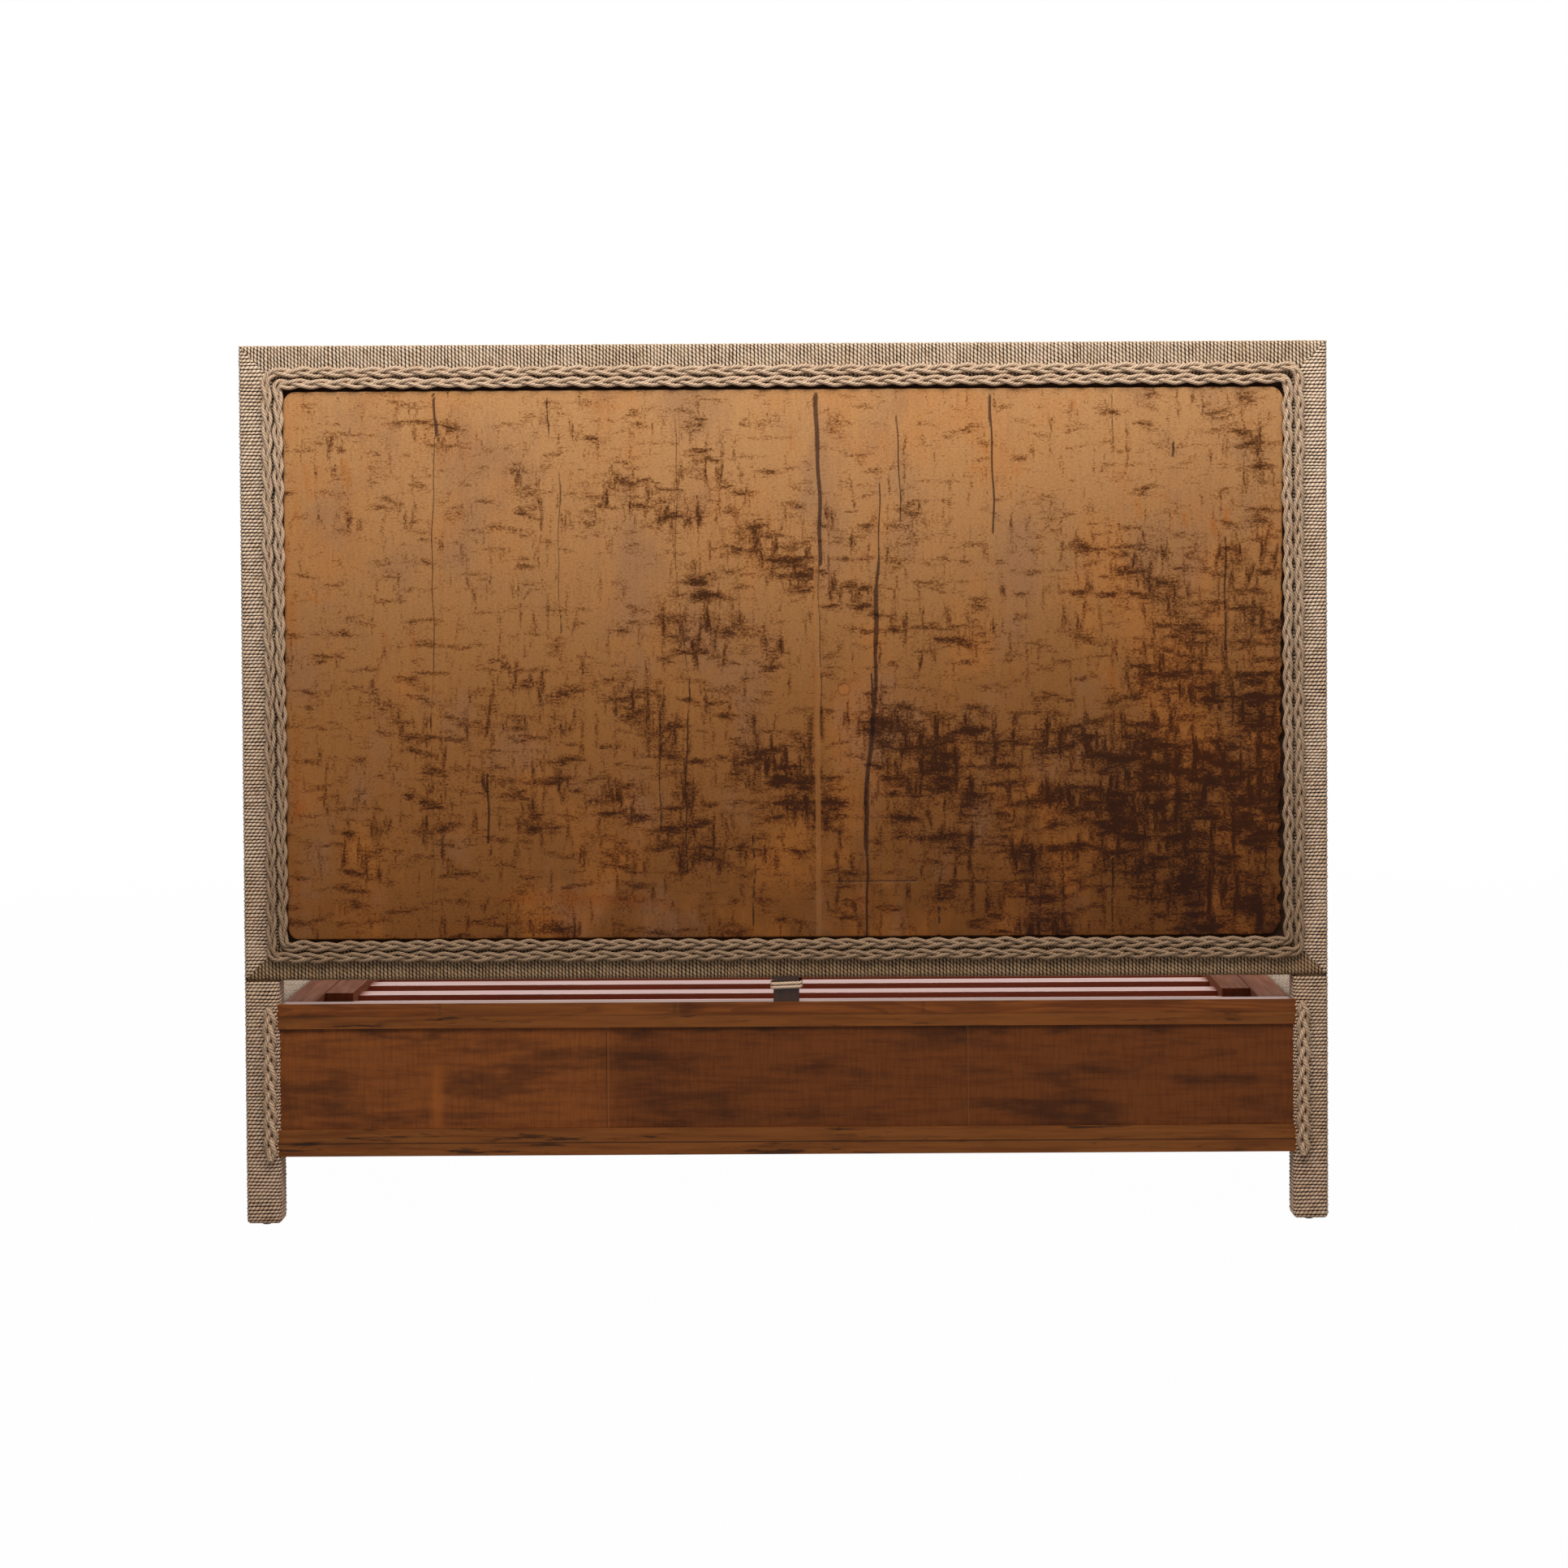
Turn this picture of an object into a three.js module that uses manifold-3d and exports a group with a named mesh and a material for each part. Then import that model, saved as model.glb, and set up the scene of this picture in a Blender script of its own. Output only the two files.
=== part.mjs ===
// Woven rush bed: a wood frame whose posts and rails are wrapped in rush cord, with plaited borders,
// a panelled back, a framed cross panel at the head and a slatted deck.
// Millimetres, +Z up. The back of the headboard looks towards -Y and the foot end towards +Y.

import * as THREE from "three";
import { mergeVertices } from "three/addons/utils/BufferGeometryUtils.js";
import Module from "manifold-3d";

const wasm = await Module();
wasm.setup();

// Mattress and clear space
const mattressLength = 2032;
const mattressPlay = 14;
const frameWidth = 1650;
const headboardHeight = 1341;

// Posts, rails and their cord
const postSize = 55;
const wrap = 5;
const wrapRound = 7;
const coreRound = 3;
const fit = 0.3;
const cordDiameter = 5.5;

// Headboard frame
const topRailHeight = 55;
const bottomRailUnderside = 375;
const bottomRailHeight = 55;

// Plaits, each of three cords
const plaitWidth = 17;
const plaitHeight = 8;
const plaitValley = 3;
const sideStrip = 36;
const topStrip = 28;
const bottomStrip = 30;
const legPlaitBottom = 102;

// Headboard panels
const backPanelThickness = 9;
const backPanelMargin = 2;
const backPanelCorner = 25;
const backPanelEase = 1.5;
const panelRimWidth = 60;
const panelRimDepth = 12;
const wovenThickness = 26;
const wovenEase = 4;

// Cross panel at the head
const crossBack = 2;
const crossThickness = 26;
const crossLap = 8;
const upperRailHeight = 38;
const lowerRailHeight = 41;
const crossPanelThickness = 18;
const crossPanelSeam = 274;
const tongueLength = 8;
const tongueThickness = 8;

// Centre post between cross panel and headboard
const centrePostWidth = 39;
const centrePostDepth = 30;
const centrePostEase = 1;
const bindingTurns = 2;
const bindingClear = 0.5;

// Side rails and foot rail
const railTop = 340;
const railBottom = 107;
const railThickness = 60;
const railProud = 4;
const plankThickness = 46;
const plankHeight = 180;
const ledgerWidth = 44;
const ledgerTop = 338;
const ledgerStart = 141;
const ledgerEase = 1;
const cleatWidth = 30;
const cleatHeight = 30;
const pocketStart = 82;
const pocketDepth = 30;
const pocketHeight = 122;
const pocketRoof = 12;

// Slatted deck and its centre support
const slatCount = 18;
const slatWidth = 48;
const slatThickness = 18;
const slatEase = 2;
const slatTop = 326;
const beamWidth = 70;
const beamHeight = 80;
const centreLegSize = 45;
const centreLegBottom = 24;

// Tenons
const tenonThickness = 15;
const tenonLength = 28;
const tenonShoulder = 5;
const railTenonThickness = 20;
const railTenonHeight = 78;
const sideTenonBottom = 227;
const footTenonBottom = 134;
const crossTenonThickness = 12;
const crossTenonShoulder = 6;
const crossTenonLength = 20;
const beamTenonWidth = 40;
const beamTenonHeight = 60;
const headBeamTenonLength = 12;
const footBeamTenonLength = 14;
const legTenonSize = 22;
const mortiseEnd = 1;

// Glides and screw foot
const glideHeight = 5;
const glideTopRadius = 7;
const glideFaceRadius = 6;
const glideEase = 1.5;
const nailRadius = 1.5;
const nailLength = 14;
const footPadRadius = 20;
const footPadHeight = 10;
const footPadEase = 2;
const footPadRim = 5;
const footCollarRadius = 8;
const footStemRadius = 4;
const footStemLength = 34;
const stemRoom = 14;

// Places that follow from the sizes
const postOuter = frameWidth / 2;
const postInner = postOuter - postSize;
const coreInner = postInner + wrap;
const coreOuter = postOuter - wrap;
const postMiddle = postSize / 2;
const topRailUnderside = headboardHeight - topRailHeight;
const bottomRailTop = bottomRailUnderside + bottomRailHeight;
const plaitPair = 2 * plaitWidth;
const borderOuter = postOuter - sideStrip;
const borderTop = headboardHeight - topStrip;
const borderBottom = bottomRailUnderside + bottomStrip;
const crossFront = crossBack + crossThickness;
const crossMiddle = crossBack + crossThickness / 2;
const crossEnd = postInner + crossLap;
const railOuter = postOuter + railProud;
const railInner = railOuter - railThickness;
const plankInner = railInner - plankThickness;
const ledgerInner = plankInner - ledgerWidth;
const footInner = postSize + plaitHeight + mattressLength + mattressPlay;
const footOuter = footInner + railThickness;
const footPostStart = footOuter - railProud - postSize;
const footPostMiddle = footPostStart + postMiddle;
const slatBottom = slatTop - slatThickness;
const slatGap = (footInner - crossFront - slatCount * slatWidth) / (slatCount + 1);
const beamTop = slatBottom - fit;
const beamBottom = beamTop - beamHeight;
const upperRailBottom = railTop - upperRailHeight;
const lowerRailTop = railBottom + lowerRailHeight;
const bedMiddle = (footOuter - plaitHeight) / 2;

// Finishes
const finish = (color, roughness, metalness = 0) =>
  new THREE.MeshStandardMaterial({ color, roughness, metalness });
const rushCord = finish(0xb79c74, 0.9);
const coreWood = finish(0xa9825a, 0.8);
const panelWood = finish(0xa0703c, 0.55);
const redWood = finish(0x7a4526, 0.45);
const slatWood = finish(0x8a5436, 0.5);
const darkWood = finish(0x3a2a1f, 0.6);
const darkPlastic = finish(0x231d1a, 0.6);
const steel = finish(0x8c8c8c, 0.35, 0.9);

// A box between two corners
const box = (x, y, z) => ({ low: [x[0], y[0], z[0]], high: [x[1], y[1], z[1]] });

// The same box with a gap added all round
const grown = (b, gap = fit) => ({
  low: b.low.map((v) => v - gap),
  high: b.high.map((v) => v + gap),
});

// A stretch across the bed from the nearer to the farther distance from its middle
const across = (side, near, far) => (side > 0 ? [near, far] : [-far, -near]);

const centred = (middle, width) => [middle - width / 2, middle + width / 2];

function block(b) {
  const size = b.high.map((v, i) => v - b.low[i]);
  const middle = b.high.map((v, i) => (v + b.low[i]) / 2);
  return new THREE.BoxGeometry(...size).translate(...middle);
}

// Turns an outline in the plane of two axes, extruded along the third, into the bed's axes
function stood(geometry, along) {
  const [x, y, z] = [new THREE.Vector3(1, 0, 0), new THREE.Vector3(0, 1, 0), new THREE.Vector3(0, 0, 1)];
  const turns = { x: [y, z, x], y: [z, x, y], z: [x, y, z] };
  return geometry.applyMatrix4(new THREE.Matrix4().makeBasis(...turns[along]));
}

function roundedOutline(u, v, radius) {
  const shape = new THREE.Shape();
  shape.moveTo(u[0] + radius, v[0]);
  shape.lineTo(u[1] - radius, v[0]);
  shape.absarc(u[1] - radius, v[0] + radius, radius, -Math.PI / 2, 0);
  shape.lineTo(u[1], v[1] - radius);
  shape.absarc(u[1] - radius, v[1] - radius, radius, 0, Math.PI / 2);
  shape.lineTo(u[0] + radius, v[1]);
  shape.absarc(u[0] + radius, v[1] - radius, radius, Math.PI / 2, Math.PI);
  shape.lineTo(u[0], v[0] + radius);
  shape.absarc(u[0] + radius, v[0] + radius, radius, Math.PI, 1.5 * Math.PI);
  return shape;
}

// A straight bar of a box's size with its four long edges rounded
function bar(b, along, radius, curveSegments = 2) {
  const [u, v, w] = { x: [1, 2, 0], y: [2, 0, 1], z: [0, 1, 2] }[along];
  const shape = roundedOutline([b.low[u], b.high[u]], [b.low[v], b.high[v]], radius);
  const depth = b.high[w] - b.low[w];
  const made = new THREE.ExtrudeGeometry(shape, { depth, bevelEnabled: false, curveSegments });
  return stood(made.translate(0, 0, b.low[w]), along);
}

// A straight bar of any outline, given as points in the plane across it
function profiled(points, along, from, to) {
  const shape = new THREE.Shape(points.map(([u, v]) => new THREE.Vector2(u, v)));
  const made = new THREE.ExtrudeGeometry(shape, { depth: to - from, bevelEnabled: false });
  return stood(made.translate(0, 0, from), along);
}

function solidOf(geometry) {
  const bare = new THREE.BufferGeometry().setAttribute("position", geometry.getAttribute("position"));
  bare.setIndex(geometry.getIndex());
  const merged = mergeVertices(bare, 1e-4);
  const mesh = new wasm.Mesh({
    numProp: 3,
    vertProperties: new Float32Array(merged.getAttribute("position").array),
    triVerts: new Uint32Array(merged.getIndex().array),
  });
  return new wasm.Manifold(mesh);
}

function geometryOf(solid) {
  const mesh = solid.getMesh();
  const made = new THREE.BufferGeometry();
  made.setAttribute("position", new THREE.BufferAttribute(mesh.vertProperties, 3));
  made.setIndex(new THREE.BufferAttribute(mesh.triVerts, 1));
  const flat = made.toNonIndexed();
  flat.computeVertexNormals();
  return flat;
}

// A geometry with others joined to it, and then others cut from it
function shaped(geometry, { add = [], remove = [] }) {
  let solid = solidOf(geometry);
  for (const piece of add) {
    solid = solid.add(solidOf(piece));
  }
  for (const piece of remove) {
    solid = solid.subtract(solidOf(piece));
  }
  return geometryOf(solid);
}

const bed = new THREE.Group();
const headboard = new THREE.Group();
const crossPanel = new THREE.Group();
const sides = new THREE.Group();
const footEnd = new THREE.Group();
const deck = new THREE.Group();
bed.add(headboard, crossPanel, sides, footEnd, deck);
bed.position.y = -bedMiddle;

function addPiece(group, name, geometry, material) {
  const mesh = new THREE.Mesh(geometry, material);
  mesh.name = name;
  group.add(mesh);
  return mesh;
}

const bothSides = [
  ["left", -1],
  ["right", 1],
];

// Joinery: each tenon is one box, and its mortise is the same box with a clearance
function headboardTenon(side, underside, height) {
  const z = [underside + wrap + tenonShoulder, underside + height - wrap - tenonShoulder];
  return box(across(side, coreInner - fit, coreInner + tenonLength), centred(postMiddle, tenonThickness), z);
}

function crossTenon(side, bottom, top) {
  const y = centred(crossMiddle, crossTenonThickness);
  const z = [bottom + crossTenonShoulder, top - crossTenonShoulder];
  return box(across(side, crossEnd - fit, crossEnd + crossTenonLength), y, z);
}

function sideTenon(side, atFoot) {
  const x = across(side, ...centred(postInner + postMiddle, railTenonThickness));
  const z = [sideTenonBottom, sideTenonBottom + railTenonHeight];
  const headFace = postSize - wrap;
  const footFace = footPostStart + wrap;
  const y = atFoot ? [footFace - 2 * wrap, footFace + tenonLength] : [headFace - tenonLength, headFace + 2 * wrap];
  return box(x, y, z);
}

function footTenon(side) {
  const x = across(side, postInner - 2 * wrap, coreInner + tenonLength);
  const z = [footTenonBottom, footTenonBottom + railTenonHeight];
  return box(x, centred(footPostMiddle, railTenonThickness), z);
}

function mortise(tenon) {
  return block(grown(tenon, fit));
}

const beamTenonZ = centred((beamTop + beamBottom) / 2, beamTenonHeight);
const headBeamTenon = box(
  centred(0, beamTenonWidth),
  [crossFront - headBeamTenonLength, crossFront + 2 * fit],
  beamTenonZ,
);
const footBeamTenon = box(
  centred(0, beamTenonWidth),
  [footInner - 2 * fit, footInner + wrap + footBeamTenonLength],
  beamTenonZ,
);

// Glide with its nail, and the hole that the nail is driven into
function glideProfile() {
  const top = glideHeight - fit;
  return [
    [0, 0],
    [glideFaceRadius, 0],
    [glideTopRadius, glideEase],
    [glideTopRadius, top],
    [nailRadius, top],
    [nailRadius, top + nailLength],
    [0, top + nailLength],
  ];
}

function turned(profile, segments) {
  const points = profile.map(([r, z]) => new THREE.Vector2(r, z));
  return new THREE.LatheGeometry(points, segments).rotateX(Math.PI / 2);
}

function drilled(x, y, z, radius, depth) {
  const hole = new THREE.CylinderGeometry(radius, radius, depth + mortiseEnd, 16);
  return hole.rotateX(Math.PI / 2).translate(x, y, z + depth / 2 - mortiseEnd / 2);
}

const nailHole = (x, y) => drilled(x, y, glideHeight, nailRadius + fit, nailLength + mortiseEnd);

// Headboard posts
const crossRebate = (side) =>
  block(
    box(
      across(side, postInner - wrap, crossEnd + fit),
      [-plaitHeight, crossFront + fit],
      [railBottom - fit, railTop + fit],
    ),
  );

const railTenonsAt = (side) => [
  headboardTenon(side, topRailUnderside, topRailHeight),
  headboardTenon(side, bottomRailUnderside, bottomRailHeight),
  crossTenon(side, upperRailBottom, railTop),
  crossTenon(side, railBottom, lowerRailTop),
  sideTenon(side, false),
];

function postCore(side) {
  const body = box(
    across(side, coreInner, coreOuter),
    [wrap, postSize - wrap],
    [glideHeight, headboardHeight - wrap],
  );
  const hole = nailHole(side * (postInner + postMiddle), postMiddle);
  return shaped(bar(body, "z", coreRound), {
    remove: [crossRebate(side), hole, ...railTenonsAt(side).map(mortise)],
  });
}

// The room that a core takes inside its wrap
function coreRoom(x, y, z) {
  return block(grown(box(x, y, z)));
}

// One side of the plaited border, from corner to corner, with its ends mitred.
// Its section is a base with two half-round lobes, one for each plait.
function borderRun(corner, along, inward, out, length) {
  const shape = new THREE.Shape();
  shape.moveTo(0, 0);
  shape.lineTo(plaitPair, 0);
  shape.lineTo(plaitPair, plaitValley);
  for (const lobe of [1.5, 0.5]) {
    const middle = lobe * plaitWidth;
    shape.absellipse(middle, plaitValley, plaitWidth / 2, plaitHeight - fit - plaitValley, 0, Math.PI);
  }
  shape.lineTo(0, 0);
  const made = new THREE.ExtrudeGeometry(shape, { depth: length, bevelEnabled: false, curveSegments: 5 });
  const place = made.getAttribute("position");
  const point = new THREE.Vector3();
  for (let i = 0; i < place.count; i++) {
    const u = place.getX(i);
    const run = place.getZ(i) > 0 ? length - u - fit : u + fit;
    point.copy(corner).addScaledVector(along, run);
    point.addScaledVector(inward, u).addScaledVector(out, place.getY(i) + fit);
    place.setXYZ(i, point.x, point.y, point.z);
  }
  return facingOut(made, inward, out, along);
}

// Turns the faces of a geometry round where its three axes are left-handed
function facingOut(geometry, a, b, c) {
  if (new THREE.Vector3().crossVectors(a, b).dot(c) > 0) {
    return geometry;
  }
  const place = geometry.getAttribute("position");
  const from = new THREE.Vector3();
  const to = new THREE.Vector3();
  for (let i = 0; i < place.count; i += 3) {
    from.fromBufferAttribute(place, i + 1);
    to.fromBufferAttribute(place, i + 2);
    place.setXYZ(i + 1, to.x, to.y, to.z);
    place.setXYZ(i + 2, from.x, from.y, from.z);
  }
  geometry.computeVertexNormals();
  return geometry;
}

const up = new THREE.Vector3(0, 0, 1);
const down = new THREE.Vector3(0, 0, -1);
const rightward = new THREE.Vector3(1, 0, 0);
const leftward = new THREE.Vector3(-1, 0, 0);

// The four runs of the border on the face at y, which looks along out
function borderRuns(y, out) {
  const wide = 2 * borderOuter;
  const tall = borderTop - borderBottom;
  const at = (x, z) => new THREE.Vector3(x, y, z);
  return {
    top: borderRun(at(-borderOuter, borderTop), rightward, down, out, wide),
    bottom: borderRun(at(-borderOuter, borderBottom), rightward, up, out, wide),
    left: borderRun(at(-borderOuter, borderBottom), up, rightward, out, tall),
    right: borderRun(at(borderOuter, borderBottom), up, leftward, out, tall),
  };
}

const backward = new THREE.Vector3(0, -1, 0);
const forward = new THREE.Vector3(0, 1, 0);
const backBorder = borderRuns(0, backward);
const frontBorder = borderRuns(postSize, forward);

// The stitched root that ties a run of the front border to the wrap under it
function borderRoot(x, z) {
  return block(box(x, [postSize - wrap / 2, postSize + plaitValley], z));
}

const rootInset = 3;

function legPlait(side) {
  const x = across(side, crossEnd + fit, crossEnd + plaitWidth);
  return bar(box(x, [-plaitHeight, wrap / 2], [legPlaitBottom, railTop]), "z", plaitValley);
}

function postWrap(side, runOfBorder) {
  const outer = box(
    across(side, postInner, postOuter),
    [0, postSize],
    [glideHeight + fit, headboardHeight],
  );
  const coreX = across(side, coreInner, coreOuter);
  const openBelow = -glideHeight;
  const rootX = across(side, postInner + rootInset, borderOuter - rootInset);
  const rootZ = [bottomRailTop, topRailUnderside];
  const railWindow = (underside, height) =>
    coreRoom(
      across(side, postInner - wrap, coreInner),
      [wrap, postSize - wrap],
      [underside + wrap, underside + height - wrap],
    );
  return shaped(bar(outer, "z", wrapRound, 3), {
    add: [legPlait(side), borderRoot(rootX, rootZ), runOfBorder],
    remove: [
      coreRoom(coreX, [wrap, postSize - wrap], [openBelow, headboardHeight - wrap]),
      crossRebate(side),
      railWindow(topRailUnderside, topRailHeight),
      railWindow(bottomRailUnderside, bottomRailHeight),
      mortise(sideTenon(side, false)),
    ],
  });
}

// Headboard rails
function railCore(underside, height) {
  const x = [-coreInner + fit, coreInner - fit];
  const body = box(x, [wrap, postSize - wrap], [underside + wrap, underside + height - wrap]);
  const tenons = bothSides.map(([, side]) => block(headboardTenon(side, underside, height)));
  return shaped(bar(body, "x", coreRound), { add: tenons });
}

function railWrap(underside, height, runOfBorder, rootZ, openings) {
  const half = postInner - fit;
  const outer = box([-half, half], [0, postSize], [underside, underside + height]);
  const hollow = coreRoom(
    [-half - wrap, half + wrap],
    [wrap, postSize - wrap],
    [underside + wrap, underside + height - wrap],
  );
  return shaped(bar(outer, "x", wrapRound, 3), {
    add: [borderRoot([-borderOuter + plaitPair, borderOuter - plaitPair], rootZ), runOfBorder],
    remove: [hollow, ...openings],
  });
}

// Centre post: its foot is tenoned into the cross panel, and its head passes the wrap to the rail core
const centrePostX = centred(0, centrePostWidth);
const centrePostY = [crossBack, crossBack + centrePostDepth];
const centrePostTop = bottomRailUnderside + wrap - 2 * fit;
const centrePostTenon = box(
  centred(0, centrePostWidth - 2 * tenonShoulder),
  centred(crossMiddle, crossTenonThickness),
  [railTop - crossTenonLength, railTop + 2 * fit],
);
const centrePostBody = box(centrePostX, centrePostY, [railTop + fit, centrePostTop]);
const centrePostWindow = block(grown(box(centrePostX, centrePostY, [railTop, centrePostTop + fit])));

// The binding is one cord that runs round the post in flat turns, drawn on a rounded rectangle
class BindingPath extends THREE.Curve {
  constructor(turns, halfX, halfY, round, pitch, start) {
    super();
    Object.assign(this, { turns, halfX, halfY, round, pitch, start });
  }

  getPoint(t, target = new THREE.Vector3()) {
    const { halfX, halfY, round } = this;
    const flatX = 2 * (halfX - round);
    const flatY = 2 * (halfY - round);
    const arc = (Math.PI / 2) * round;
    const lap = 2 * (flatX + flatY) + 4 * arc;
    const travel = t * this.turns * lap;
    const corners = [
      { length: flatX, x: -halfX + round, y: -halfY, angle: -Math.PI / 2 },
      { length: flatY, x: halfX, y: -halfY + round, angle: 0 },
      { length: flatX, x: halfX - round, y: halfY, angle: Math.PI / 2 },
      { length: flatY, x: -halfX, y: halfY - round, angle: Math.PI },
    ];
    let left = travel % lap;
    if (t === 1 && this.turns % 1 === 0) {
      left = 0;
    }
    let x = corners[0].x;
    let y = corners[0].y;
    for (const { length, x: fromX, y: fromY, angle } of corners) {
      const dirX = -Math.sin(angle);
      const dirY = Math.cos(angle);
      if (left <= length) {
        x = fromX + dirX * left;
        y = fromY + dirY * left;
        break;
      }
      left -= length;
      if (left <= arc) {
        const middleX = fromX + dirX * length - Math.cos(angle) * round;
        const middleY = fromY + dirY * length - Math.sin(angle) * round;
        const turn = angle + left / round;
        x = middleX + Math.cos(turn) * round;
        y = middleY + Math.sin(turn) * round;
        break;
      }
      left -= arc;
    }
    return target.set(x, y, this.start - this.pitch * t * this.turns);
  }
}

const bindingRadius = (cordDiameter - bindingClear) / 2;
const bindingPitch = cordDiameter + bindingClear / 2;
const bindingPath = new BindingPath(
  bindingTurns,
  centrePostWidth / 2 + bindingRadius + fit,
  centrePostDepth / 2 + bindingRadius + fit,
  bindingRadius + 2 * fit,
  bindingPitch,
  bottomRailUnderside - bindingRadius - fit,
);

function circleOutline(radius, sides) {
  const points = [];
  for (let i = 0; i < sides; i++) {
    const angle = (2 * Math.PI * i) / sides;
    points.push(new THREE.Vector2(radius * Math.cos(angle), radius * Math.sin(angle)));
  }
  return new THREE.Shape(points);
}

// Least distance between stretches of the binding that lie a turn apart, less the cord itself
function leastGap(path, radius, samples) {
  const points = path.getSpacedPoints(samples);
  const apart = Math.floor(samples / path.turns / 2);
  let least = Infinity;
  for (let i = 0; i < points.length; i++) {
    for (let j = i + apart; j < points.length; j++) {
      least = Math.min(least, points[i].distanceTo(points[j]));
    }
  }
  return least - 2 * radius;
}

function binding() {
  const steps = 24 * bindingTurns;
  const made = new THREE.ExtrudeGeometry(circleOutline(bindingRadius, 6), {
    steps,
    extrudePath: bindingPath,
    bevelEnabled: false,
  });
  console.log("binding: least gap to itself", leastGap(bindingPath, bindingRadius, 400).toFixed(2), "mm");
  return made.translate(0, crossBack + centrePostDepth / 2, 0);
}

for (const [word, side] of bothSides) {
  addPiece(headboard, `headboard_post_${word}`, postCore(side), coreWood);
  addPiece(headboard, `post_wrap_${word}`, postWrap(side, frontBorder[word]), rushCord);
  addPiece(headboard, `braid_${word}`, backBorder[word], rushCord);
}
addPiece(headboard, "headboard_top_rail", railCore(topRailUnderside, topRailHeight), coreWood);
addPiece(headboard, "headboard_bottom_rail", railCore(bottomRailUnderside, bottomRailHeight), coreWood);
const topRoot = [topRailUnderside + rootInset, borderTop - rootInset];
const bottomRoot = [borderBottom + rootInset, bottomRailTop - rootInset];
addPiece(
  headboard,
  "top_rail_wrap",
  railWrap(topRailUnderside, topRailHeight, frontBorder.top, topRoot, []),
  rushCord,
);
addPiece(
  headboard,
  "bottom_rail_wrap",
  railWrap(bottomRailUnderside, bottomRailHeight, frontBorder.bottom, bottomRoot, [centrePostWindow]),
  rushCord,
);
addPiece(headboard, "braid_top", backBorder.top, rushCord);
addPiece(headboard, "braid_bottom", backBorder.bottom, rushCord);

// A flat panel between two corners of the headboard opening, with eased edges
function flatPanel(halfWidth, z, y, corner, ease) {
  const inside = [-halfWidth + ease, halfWidth - ease];
  const shape = roundedOutline([z[0] + ease, z[1] - ease], inside, corner);
  const made = new THREE.ExtrudeGeometry(shape, {
    depth: y[1] - y[0] - 2 * ease,
    bevelThickness: ease,
    bevelSize: ease,
    bevelSegments: 1,
    curveSegments: 6,
  });
  return stood(made.translate(0, 0, y[0] + ease), "y");
}

const backPanelHalf = borderOuter - plaitPair - backPanelMargin;
const backPanelZ = [borderBottom + plaitPair + backPanelMargin, borderTop - plaitPair - backPanelMargin];
const backPanelY = [fit, fit + backPanelThickness];
addPiece(
  headboard,
  "headboard_back_panel",
  flatPanel(backPanelHalf, backPanelZ, backPanelY, backPanelCorner, backPanelEase),
  panelWood,
);

// The woven panel: rush woven over a board, with a rim at its back that carries the back panel
function wovenPanel() {
  const half = postInner - fit;
  const z = [bottomRailTop + fit, topRailUnderside - fit];
  const rimY = backPanelY[1] + fit;
  const plate = rimY + panelRimDepth;
  const body = flatPanel(half, z, [rimY, plate + wovenThickness], wovenEase, wovenEase);
  const recess = box(
    [-half + panelRimWidth, half - panelRimWidth],
    [rimY - wrap, plate],
    [z[0] + panelRimWidth, z[1] - panelRimWidth],
  );
  return shaped(body, { remove: [block(recess)] });
}

addPiece(headboard, "headboard_woven_panel", wovenPanel(), rushCord);
addPiece(
  headboard,
  "centre_post",
  shaped(bar(centrePostBody, "z", centrePostEase), { add: [block(centrePostTenon)] }),
  darkWood,
);
addPiece(headboard, "centre_post_binding", binding(), rushCord);

// Cross panel: two rails grooved for the tongues of three panels
const grooveY = centred(crossMiddle, tongueThickness + 2 * fit);

function crossRail(bottom, top, grooveOnTop) {
  const inward = grooveOnTop ? -1 : 1;
  const open = grooveOnTop ? top : bottom;
  const shut = grooveOnTop ? bottom : top;
  const floor = open + inward * (tongueLength + fit);
  const [near, far] = grooveY;
  const outline = [
    [crossBack, shut],
    [crossFront, shut],
    [crossFront, open],
    [far, open],
    [far, floor],
    [near, floor],
    [near, open],
    [crossBack, open],
  ];
  const body = profiled(outline, "x", -crossEnd + fit, crossEnd - fit);
  const tenons = bothSides.map(([, side]) => block(crossTenon(side, bottom, top)));
  const remove = grooveOnTop ? [] : [mortise(centrePostTenon)];
  return shaped(body, { add: tenons, remove });
}

function crossBoard(from, to, remove) {
  const [back, front] = centred(crossMiddle, crossPanelThickness);
  const [near, far] = centred(crossMiddle, tongueThickness);
  const tongued = (shoulder, tip) => [
    [back, shoulder],
    [near, shoulder],
    [near, tip],
    [far, tip],
    [far, shoulder],
    [front, shoulder],
  ];
  const foot = tongued(lowerRailTop + fit, lowerRailTop - tongueLength + fit);
  const head = tongued(upperRailBottom - fit, upperRailBottom + tongueLength - fit);
  return shaped(profiled([...foot, ...head.reverse()], "x", from, to), { remove });
}

const boardEnd = crossEnd - fit;
addPiece(crossPanel, "cross_rail_upper", crossRail(upperRailBottom, railTop, false), redWood);
addPiece(crossPanel, "cross_rail_lower", crossRail(railBottom, lowerRailTop, true), redWood);
addPiece(crossPanel, "cross_panel_left", crossBoard(-boardEnd, -crossPanelSeam - fit, []), redWood);
addPiece(
  crossPanel,
  "cross_panel_middle",
  crossBoard(-crossPanelSeam + fit, crossPanelSeam - fit, [mortise(headBeamTenon)]),
  redWood,
);
addPiece(crossPanel, "cross_panel_right", crossBoard(crossPanelSeam + fit, boardEnd, []), redWood);

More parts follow.
